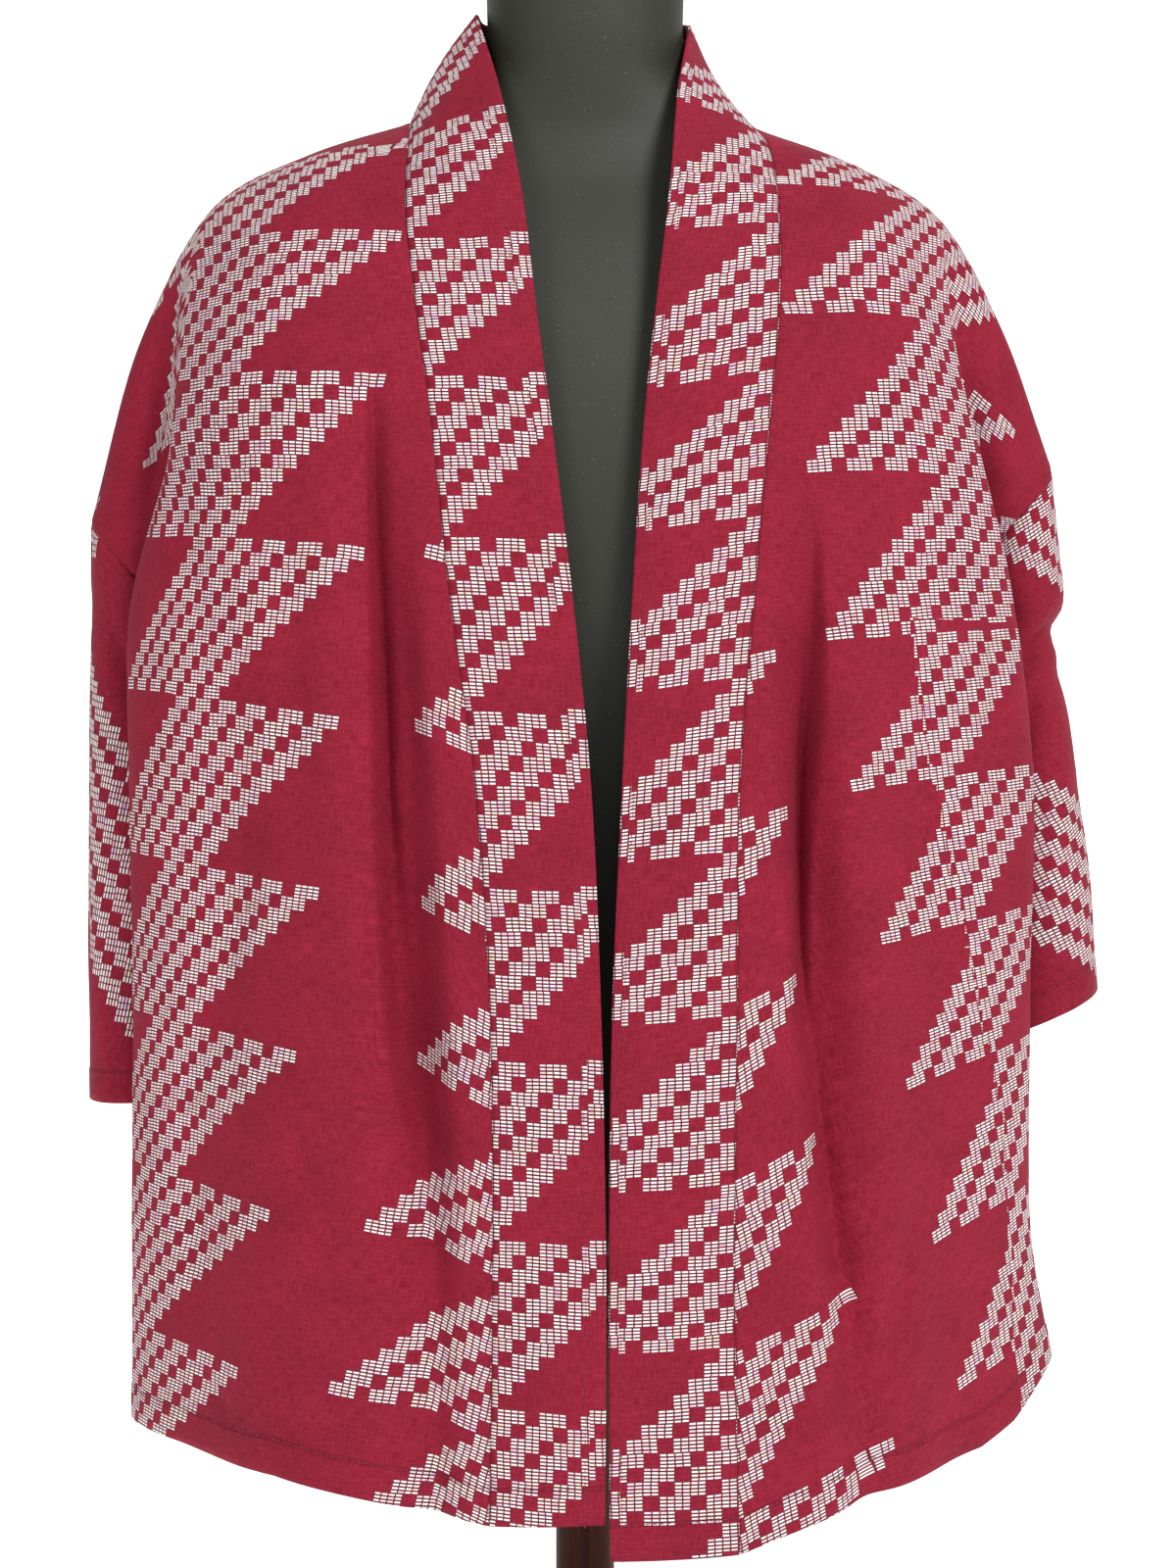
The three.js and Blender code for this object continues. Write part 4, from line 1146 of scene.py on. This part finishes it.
def handwoven_cotton(settings):
    """Crimson plain weave of cotton with a supplementary weft of pale lurex-and-cotton thread.

    The ground is matt with slubs along both threads. The pattern thread lies over it in
    short floats, whose round backs catch the light.
    """
    material, tree, shader = new_material(COTTON)
    place = add(tree, "ShaderNodeUVMap", uv_map="cloth")
    cells = scaled(tree, place, 1 / settings.cell)
    # The weaver's hand: rows waver by about a tenth of a block.
    waver = noise(tree, cells, 0.22, 1.0).outputs["Color"]
    lean = add(tree, "ShaderNodeVectorMath", {0: waver, 1: (0.5, 0.5, 0.5)}, operation="SUBTRACT")
    cells = add(tree, "ShaderNodeVectorMath", {0: cells, 1: scaled(tree, lean, 0.35)}, operation="ADD")
    parts = add(tree, "ShaderNodeSeparateXYZ", {"Vector": cells})
    row = calc(tree, "FLOOR", parts.outputs["Y"])
    slip = add(tree, "ShaderNodeTexWhiteNoise", {"W": row}, noise_dimensions="1D")
    across = calc(tree, "ADD", parts.outputs["X"], calc(tree, "MULTIPLY", slip, 0.14))
    # Teeth: block k of a row is filled for k from 0 to 16, and every third is left bare.
    column = calc(tree, "FLOORED_MODULO", calc(tree, "FLOOR", across), COLUMNS_IN_REPEAT)
    tooth = calc(tree, "ROUND", kept_value(tree, "tooth"))
    row = calc(tree, "FLOORED_MODULO", row, tooth)
    block = calc(tree, "SUBTRACT", calc(tree, "ADD", column, row), FIRST_FILLED)
    block = calc(tree, "FLOORED_MODULO", block, COLUMNS_IN_REPEAT)
    to_last = calc(tree, "LESS_THAN", block, 16.5)
    not_bare = calc(tree, "LESS_THAN", calc(tree, "FLOORED_MODULO", block, 3), 1.5)
    filled = calc(tree, "MULTIPLY", to_last, not_bare)
    # Floats: two side by side in a block, 3.5 mm long, and four above each other.
    float_across = calc(tree, "MULTIPLY", across, 2)
    float_down = calc(tree, "MULTIPLY", parts.outputs["Y"], 4)
    ends = remap(tree, from_middle(tree, float_across), 0.45, 0.36, eased=True)
    back = remap(tree, from_middle(tree, float_down), 0.34, 0.19, eased=True)
    thread = calc(tree, "MULTIPLY", calc(tree, "MULTIPLY", ends, back), filled)
    # Each float has its own brightness, and a few flash pink, yellow or lilac.
    number = {"X": calc(tree, "FLOOR", float_across), "Y": calc(tree, "FLOOR", float_down)}
    number = add(tree, "ShaderNodeCombineXYZ", number)
    chance = add(tree, "ShaderNodeTexWhiteNoise", {"Vector": number}, noise_dimensions="2D")
    tint = add(tree, "ShaderNodeValToRGB", {"Fac": chance})
    stops = tint.color_ramp.elements
    stops[0].color, stops[1].color = paint(0xE2C3CF), paint(0xFFF9F7)
    flashes = ((0.12, 0xF6E2E8), (0.4, None), (0.8, 0xFFFFFF), (0.87, 0xF4ECCB), (0.93, 0xE6C9EE))
    for position, colour in flashes:
        stops.new(position).color = opaque(settings.thread) if colour is None else paint(colour)
    # Slubs: uneven thread along the weft and the warp, and the weave itself, drawn at
    # 0.9 mm where the real one has about 0.4 mm, so that it shows.
    weft, warp = (
        noise(tree, add(tree, "ShaderNodeMapping", {"Vector": place, "Scale": scale}), 1.0)
        for scale in ((130.0, 1300.0, 1.0), (1300.0, 160.0, 1.0))
    )
    weave = calc(tree, "ADD", weft, warp)
    slub = remap(tree, weave, 0.72, 1.28)
    ground = mixed(tree, slub, opaque(settings.ground), opaque(settings.slub))
    wear = remap(tree, noise(tree, place, 26.0, 3.0), 0.3, 0.7, (0.88, 1.08))
    # Painted shadow: in the filled blocks the ground, which shows between the floats, is darkened to 0.62 as
    # if it lay in their shadow.
    under = remap(tree, filled, to=(1.0, 0.62))
    ground = scaled(tree, ground, calc(tree, "MULTIPLY", wear, under))
    # Seams sink between the pieces, and a line of stitches dents the cloth at the hem. Both lines get painted
    # shade: the base colour is darkened there, down to 0.86.
    seam = remap(tree, kept_value(tree, "to_seam"), 1.0 * MM, 0.1 * MM, eased=True)
    off_line = calc(tree, "SUBTRACT", kept_value(tree, "to_hem"), HEM_DEPTH * MM)
    dent = remap(tree, calc(tree, "ABSOLUTE", off_line), 1.8 * MM, 0.3 * MM, eased=True)
    shade = remap(tree, calc(tree, "MAXIMUM", seam, dent), to=(1.0, 0.86))
    # Relief in millimetres: floats 0.35 mm proud, weave 0.3 mm, the stitched line 0.4 mm deep.
    relief = calc(tree, "MULTIPLY", thread, 0.35)
    relief = calc(tree, "ADD", relief, calc(tree, "MULTIPLY", weave, 0.3))
    relief = calc(tree, "ADD", relief, calc(tree, "MULTIPLY", dent, -0.4))
    connect(tree, shader, {
        # Base colour with the painted shadow between the floats and the painted shade along the seams and the
        # hem line.
        "Base Color": scaled(tree, mixed(tree, thread, ground, tint), shade),
        "Roughness": remap(tree, thread, to=(0.84, 0.3)),
        "Normal": bumps(tree, relief, 1.0, 0.9),
        "Sheen Weight": 0.05,
        "Sheen Roughness": 0.5,
        "Sheen Tint": paint(0xD06A80),
        "Specular IOR Level": 0.22,
    })
    return material


def spun_sewing_thread(settings):
    """Crimson polyester sewing thread: slightly shiny, with a fine twist along it."""
    material, tree, shader = new_material(SEWING_THREAD)
    twist = noise(tree, own_place(tree), 1500.0)
    connect(tree, shader, {
        "Base Color": mixed(tree, twist, opaque(settings.colour), paint(0xA03A50)),
        "Roughness": 0.55,
        "Normal": bumps(tree, twist, 0.1, 0.4),
    })
    return material


def satin_form_skin(settings):
    """Moulded fibreglass with a charcoal satin coat: even, with a faint orange peel and dust."""
    material, tree, shader = new_material("satin_coated_fibreglass")
    place = own_place(tree)
    patch = noise(tree, place, 9.0, 4.0)
    dust = remap(tree, noise(tree, place, 900.0, 1.0), 0.70, 0.80)
    coat = scaled(tree, settings.skin, remap(tree, patch, to=(0.86, 1.12)))
    connect(tree, shader, {
        "Base Color": mixed(tree, dust, coat, paint(0x5C5D57)),
        "Roughness": remap(tree, patch, to=(0.56, 0.70)),
        "Normal": bumps(tree, noise(tree, place, 420.0), 0.2, 0.25),
    })
    return material


def varnished_wood(settings):
    """Stained and varnished beech: long dark grain under a smooth coat."""
    material, tree, shader = new_material("stained_varnished_beech")
    # Grain lines about 1.5 mm apart across and 60 mm long.
    stretch = {"Vector": own_place(tree), "Scale": (650.0, 650.0, 16.0)}
    grain = noise(tree, add(tree, "ShaderNodeMapping", stretch), 1.0, 4.0)
    line = remap(tree, grain, 0.35, 0.65)
    connect(tree, shader, {
        "Base Color": mixed(tree, line, paint(0x280C05), opaque(settings.wood)),
        "Roughness": 0.5,
        "Normal": bumps(tree, grain, 0.15, 0.3),
        "Specular IOR Level": 0.1,
        "Coat Weight": 0.02,
        "Coat Roughness": 0.3,
    })
    return material


def powder_coated_steel(settings):
    """Black powder coat on steel: a fine pebbled satin."""
    material, tree, shader = new_material("powder_coated_steel")
    place = own_place(tree)
    scuff = noise(tree, place, 30.0, 5.0)
    connect(tree, shader, {
        "Base Color": scaled(tree, settings.steel, remap(tree, scuff, to=(0.85, 1.2))),
        "Roughness": remap(tree, scuff, to=(0.4, 0.62)),
        "Normal": bumps(tree, noise(tree, place, 700.0), 0.15, 0.5),
    })
    return material


def seamless_paper():
    """White studio paper, lit from behind as well as in front."""
    material, tree, shader = new_material("white_studio_paper")
    white = paint(0xFFFFFF)
    connect(tree, shader, {
        "Base Color": white, "Roughness": 0.9, "Emission Color": white, "Emission Strength": 0.8,
    })
    return material


def shared(name, make, settings):
    """The material of that name, made the first time it is asked for."""
    return bpy.data.materials.get(name) or make(settings)


# --------------------------------------------------------------------------- operators

PANELS = {}  # the shaped panels, kept for the sewing


def get_panels(context):
    """All panels, made together because their seams meet."""
    if PANELS:
        return PANELS
    back = back_grid()
    made = [Panel("back", back, body_axis)]
    for side, name in SIDE_NAMES.items():
        front = front_grid(side)
        sleeve = sleeve_grid(side, front, back)
        made.append(Panel("front_" + name, front, body_axis))
        made.append(Panel("neckband_" + name, band_grid(side), body_axis, sewn=("top", "start")))
        made.append(Panel("sleeve_" + name, sleeve, sleeve_axis(side), closed=True, sewn=("top",)))
    for seed, panel in enumerate(made, context.scene.haori_stage.seed):
        shape_panel(panel, context.scene.haori_cloth, seed)
        PANELS[panel.name] = panel
    return PANELS


class HAORI_OT_fronts(bpy.types.Operator):
    """Build the two open fronts"""

    bl_idname = "haori.fronts"
    bl_label = "Fronts"

    def execute(self, context):
        for side, name in SIDE_NAMES.items():
            panel = get_panels(context)["front_" + name]
            beyond = beyond_side_seam(panel) > 0 if side == LEFT else None
            piece = make_cloth(panel, front_grain(panel, side), context, shift=beyond)
        return {"FINISHED"}


class HAORI_OT_back(bpy.types.Operator):
    """Build the back with its dropped shoulders"""

    bl_idname = "haori.back"
    bl_label = "Back"

    def execute(self, context):
        panel = get_panels(context)["back"]
        piece = make_cloth(panel, back_grain(panel), context)
        return {"FINISHED"}


class HAORI_OT_neckband(bpy.types.Operator):
    """Build the two halves of the folded neckband"""

    bl_idname = "haori.neckband"
    bl_label = "Neckband"

    def execute(self, context):
        for side, name in SIDE_NAMES.items():
            panel = get_panels(context)["neckband_" + name]
            piece = make_band(panel, band_grain(panel, side), side, context)
        return {"FINISHED"}


class HAORI_OT_sleeves(bpy.types.Operator):
    """Build the two wide sleeves"""

    bl_idname = "haori.sleeves"
    bl_label = "Sleeves"

    def execute(self, context):
        for side, name in SIDE_NAMES.items():
            panel = get_panels(context)["sleeve_" + name]
            piece = make_cloth(panel, sleeve_grain(panel, side), context, tooth=SLEEVE_GRAIN[side][-1])
        return {"FINISHED"}


# ------------------------------------------------------------------------------ sewing


def surface_line(panel, rows, columns):
    """Points just off the outer face of a panel, between its grid points."""
    rows, columns = np.broadcast_arrays(np.asarray(rows, float), np.asarray(columns, float))
    grid = panel.grid + panel.normals() * STITCH_HEIGHT
    if panel.closed:
        grid = np.concatenate([grid, grid[:, :1]], axis=1)
    i = np.clip(rows.astype(int), 0, grid.shape[0] - 2)
    j = np.clip(columns.astype(int), 0, grid.shape[1] - 2)
    a, b = (rows - i)[:, None], (columns - j)[:, None]
    top = grid[i, j] * (1 - b) + grid[i, j + 1] * b
    foot = grid[i + 1, j] * (1 - b) + grid[i + 1, j + 1] * b
    return top * (1 - a) + foot * a


def hem_line(panel, height):
    """Line across a panel at a height above its hem."""
    far = panel.to_hem()
    columns = np.arange(far.shape[1])
    rows = [np.interp(-height, -far[:, j], np.arange(len(far))) for j in columns]
    if panel.closed:
        columns, rows = np.append(columns, len(columns)), np.append(rows, rows[0])
    return surface_line(panel, rows, columns)


def band_line(panel, width):
    """Line down a neckband at a distance from its free edge."""
    across = panel.across_mm()
    columns = [np.interp(length[-1] - width, length, np.arange(len(length))) for length in across]
    return surface_line(panel, np.arange(len(columns)), columns)


def stitch_tree(sewing, material):
    """Geometry Nodes that set stitches along a line: pitch, length and width are inputs."""
    tree = bpy.data.node_groups.new("running_stitches", "GeometryNodeTree")
    kinds = {"Line": "Geometry", "Pitch": "Float", "Length": "Float", "Width": "Float", "Seed": "Int"}
    for name, kind in kinds.items():
        tree.interface.new_socket(name, in_out="INPUT", socket_type="NodeSocket" + kind)
    tree.interface.new_socket("Stitches", in_out="OUTPUT", socket_type="NodeSocketGeometry")
    given = add(tree, "NodeGroupInput").outputs
    line = add(tree, "GeometryNodeMeshToCurve", {"Mesh": given["Line"]})
    spaced = add(tree, "GeometryNodeResampleCurve", {"Curve": line, "Length": given["Pitch"]}, mode="LENGTH")
    tangent = add(tree, "GeometryNodeInputTangent")
    turn = add(tree, "FunctionNodeAlignRotationToVector", {"Vector": tangent}, axis="X")
    # Inputs 2 and 3 and output 1 are those of a plain number.
    wobble = add(tree, "FunctionNodeRandomValue", {"Seed": given["Seed"], 2: 0.8, 3: 1.1}, data_type="FLOAT")
    half = calc(tree, "MULTIPLY", calc(tree, "MULTIPLY", given["Length"], 0.5), wobble.outputs[1])
    size = add(tree, "ShaderNodeCombineXYZ", {"X": half, "Y": given["Width"], "Z": given["Width"]})
    ball = add(tree, "GeometryNodeMeshUVSphere", {"Segments": 6, "Rings": 5, "Radius": 1.0})
    inputs = {"Points": spaced, "Instance": ball, "Rotation": turn, "Scale": size}
    stitches = add(tree, "GeometryNodeInstanceOnPoints", inputs)
    whole = add(tree, "GeometryNodeRealizeInstances", {"Geometry": stitches})
    finish = add(tree, "GeometryNodeSetMaterial", {"Geometry": whole, "Material": material})
    add(tree, "NodeGroupOutput", {"Stitches": finish})
    values = {
        "Pitch": sewing.pitch, "Length": sewing.length, "Width": sewing.thread_width / 2, "Seed": STITCH_SEED,
    }
    items = tree.interface.items_tree
    return tree, {item.identifier: values[item.name] for item in items if item.name in values}


def sew_lines(name, lines, context):
    """One mesh of stitches along the lines."""
    sewing = context.scene.haori_sewing
    material = shared(SEWING_THREAD, spun_sewing_thread, sewing)
    points, edges = [], []
    for line in lines:
        first = len(points)
        points += metres(line).tolist()
        edges += [(k, k + 1) for k in range(first, len(points) - 1)]
    mesh = bpy.data.meshes.new(name + "_line")
    mesh.from_pydata(points, edges, [])
    guide = add_to_scene(name + "_line", mesh)
    tree, chosen = stitch_tree(sewing, material)
    modifier = guide.modifiers.new("stitches", "NODES")
    modifier.node_group = tree
    for identifier, value in chosen.items():
        modifier[identifier] = value
    context.view_layer.update()
    stitched = bpy.data.meshes.new_from_object(guide.evaluated_get(context.evaluated_depsgraph_get()))
    stitched.name = name
    bpy.data.objects.remove(guide)
    stitched.shade_smooth()
    hand_over(add_to_scene(name, stitched))


class HAORI_OT_sewing(bpy.types.Operator):
    """Sew the hems, the cuffs and the edge of the neckband"""

    bl_idname = "haori.sewing"
    bl_label = "Sewing"

    def execute(self, context):
        panels = get_panels(context)
        hems, cuffs, edges = [], [], []
        for side, name in SIDE_NAMES.items():
            band = panels["neckband_" + name]
            hems.append(hem_line(panels["front_" + name], HEM_DEPTH))
            cuffs.append(hem_line(panels["sleeve_" + name], CUFF_DEPTH))
            edges += [band_line(band, BAND_STRIP[side]), hem_line(band, HEM_DEPTH)]
        hems.append(hem_line(panels["back"], HEM_DEPTH))
        for name, lines in (("hem", hems), ("cuff", cuffs), ("neckband", edges)):
            sew_lines(name + "_stitches", lines, context)
        return {"FINISHED"}


# ---------------------------------------------------------------- dress form and stand


class HAORI_OT_dress_form(bpy.types.Operator):
    """Build the smooth limbless dress form"""

    bl_idname = "haori.dress_form"
    bl_label = "Dress Form"

    def execute(self, context):
        sections = np.array(FORM_SECTIONS, float)
        sections = spline(sections, steps([FORM_STEPS] * (len(sections) - 1)))
        angles = np.arange(FORM_SIDES) * 2 * np.pi / FORM_SIDES
        rings = []
        for z, wide, front, back in sections:
            power = TORSO_SQUARENESS + (NECK_SQUARENESS - TORSO_SQUARENESS) * smooth(z, *NECK_FROM)
            cos, sin, reach = superellipse(angles, power)
            deep = np.where(sin < 0, front, back)
            rings.append(np.stack([wide * reach * cos, deep * reach * sin, np.full_like(cos, z)], 1))
        material = satin_form_skin(context.scene.haori_stand)
        piece = ring_solid("dress_form_skin", metres(rings), material, FORM_SHARP)
        hand_over(piece, "dress_form")
        return {"FINISHED"}


class HAORI_OT_stand(bpy.types.Operator):
    """Build the pole and the round base"""

    bl_idname = "haori.stand"
    bl_label = "Stand"

    def execute(self, context):
        stand = context.scene.haori_stand
        low, high = (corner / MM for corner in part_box("stand_pole"))
        wide = high.x
        profile = [(wide - CHAMFER, low.z), (wide, low.z + CHAMFER)]
        half, deep = GROOVE
        for groove in reversed(range(POLE_GROOVES)):
            z = high.z - GROOVE_FROM_TOP - GROOVE_PITCH * groove
            profile += [(wide, z - half), (wide - deep, z), (wide, z + half)]
        profile += [(wide, high.z - CHAMFER), (wide - CHAMFER, high.z)]
        pole = lathe("stand_pole_turned", profile, varnished_wood(stand))
        hand_over(pole, "stand_pole")
        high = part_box("stand_base")[1] / MM
        wide = high.x
        quarter = np.linspace(0, np.pi / 2, EDGE_STEPS)
        rim, crown = (
            [(out + BASE_EDGE * np.cos(t), up + BASE_EDGE * np.sin(t)) for t in quarter]
            for out, up in (
                (wide - BASE_EDGE, BASE_THICK - BASE_EDGE), (BOSS_RADIUS - BASE_EDGE, high.z - BASE_EDGE)
            )
        )
        out, up = BOSS_RADIUS + BOSS_FILLET, BASE_THICK + BOSS_FILLET
        fillet = [(out - BOSS_FILLET * np.sin(t), up - BOSS_FILLET * np.cos(t)) for t in quarter * ALMOST]
        profile = [(wide - CHAMFER, 0), (wide, CHAMFER), *rim, *fillet, *crown]
        base = lathe("stand_base_disc", profile, powder_coated_steel(stand))
        hand_over(base, "stand_base")
        return {"FINISHED"}


# ------------------------------------------------------------------------------- stage


class HAORI_OT_stage(bpy.types.Operator):
    """Set up the pale floor, the soft lights and the camera"""

    bl_idname = "haori.stage"
    bl_label = "Stage"

    def execute(self, context):
        stage = context.scene.haori_stage
        turns = np.linspace(0, np.pi / 2, BACKDROP_STEPS + 1)
        depth, bend = BACKDROP_DEPTH, BACKDROP_BEND
        curve = [(BACKDROP_START, 0.0)]
        curve += [(depth + bend * np.sin(t), bend - bend * np.cos(t)) for t in turns]
        curve.append((depth + bend, BACKDROP_HEIGHT))
        points = [(x, y, z) for y, z in curve for x in (-BACKDROP_HEIGHT, BACKDROP_HEIGHT)]
        faces = [(2 * k, 2 * k + 1, 2 * k + 3, 2 * k + 2) for k in range(len(curve) - 1)]
        add_object("seamless_backdrop", points, faces, seamless_paper())
        middle = Vector((0, 0, (LIT_HEIGHT + RISE) * MM))
        lamps = (
            ("key_softbox", stage.key, (1.2, -1.7, 2.9), 0.7),
            ("side_softbox", stage.key * 0.25, (-1.3, -1.9, 2.4), 0.9),
            ("fill_softbox", stage.fill, (0.0, -2.6, 1.5), 1.8),
            ("top_softbox", stage.fill * 0.5, (0.0, 0.3, 2.9), 1.6),
        )
        for name, power, place, size in lamps:
            lamp = bpy.data.lights.new(name, "AREA")
            lamp.energy = power
            lamp.size = size
            holder = add_to_scene(name, lamp)
            holder.location = place
            holder.rotation_euler = (middle - Vector(place)).to_track_quat("-Z", "Y").to_euler()
        world = bpy.data.worlds.new("studio_air")
        world.use_nodes = True
        context.scene.world = world
        sky = {"Color": paint(0xFFFFFF), "Strength": stage.ambient}
        connect(world.node_tree, world.node_tree.nodes["Background"], sky)
        context.scene.view_settings.view_transform = "Standard"
        lens = bpy.data.cameras.new("camera")
        lens.lens = stage.lens
        camera = add_to_scene("camera", lens)
        x, height = CAMERA_PLACE
        camera.location = (x * MM, -stage.distance, (height + RISE) * MM)
        camera.rotation_euler = (np.pi / 2, 0, 0)
        context.scene.camera = camera
        return {"FINISHED"}


class HAORI_PT_sidebar(bpy.types.Panel):
    """Lists the steps that build the jacket"""

    bl_idname = "HAORI_PT_sidebar"
    bl_label = "Haori"
    bl_space_type = "VIEW_3D"
    bl_region_type = "UI"
    bl_category = "Haori"

    def draw(self, context):
        layout = self.layout
        for operator in OPERATORS:
            layout.operator(operator.bl_idname)
        for group in SETTINGS:
            settings = getattr(context.scene, group)
            for name in SETTINGS[group].__annotations__:
                layout.prop(settings, name)


OPERATORS = (
    HAORI_OT_dress_form,
    HAORI_OT_stand,
    HAORI_OT_fronts,
    HAORI_OT_back,
    HAORI_OT_neckband,
    HAORI_OT_sleeves,
    HAORI_OT_sewing,
    HAORI_OT_stage,
)
SETTINGS = {
    "haori_cloth": HaoriClothSettings,
    "haori_sewing": HaoriSewingSettings,
    "haori_stand": HaoriStandSettings,
    "haori_stage": HaoriStageSettings,
}


def register():
    for name, group in SETTINGS.items():
        bpy.utils.register_class(group)
        setattr(bpy.types.Scene, name, PointerProperty(type=group))
    for part in (*OPERATORS, HAORI_PT_sidebar):
        bpy.utils.register_class(part)


def unregister():
    for part in (HAORI_PT_sidebar, *reversed(OPERATORS)):
        bpy.utils.unregister_class(part)
    for name, group in SETTINGS.items():
        delattr(bpy.types.Scene, name)
        bpy.utils.unregister_class(group)


def main():
    register()
    for operator in OPERATORS:
        getattr(bpy.ops.haori, operator.bl_idname.split(".")[1])()


if __name__ == "__main__":
    main()
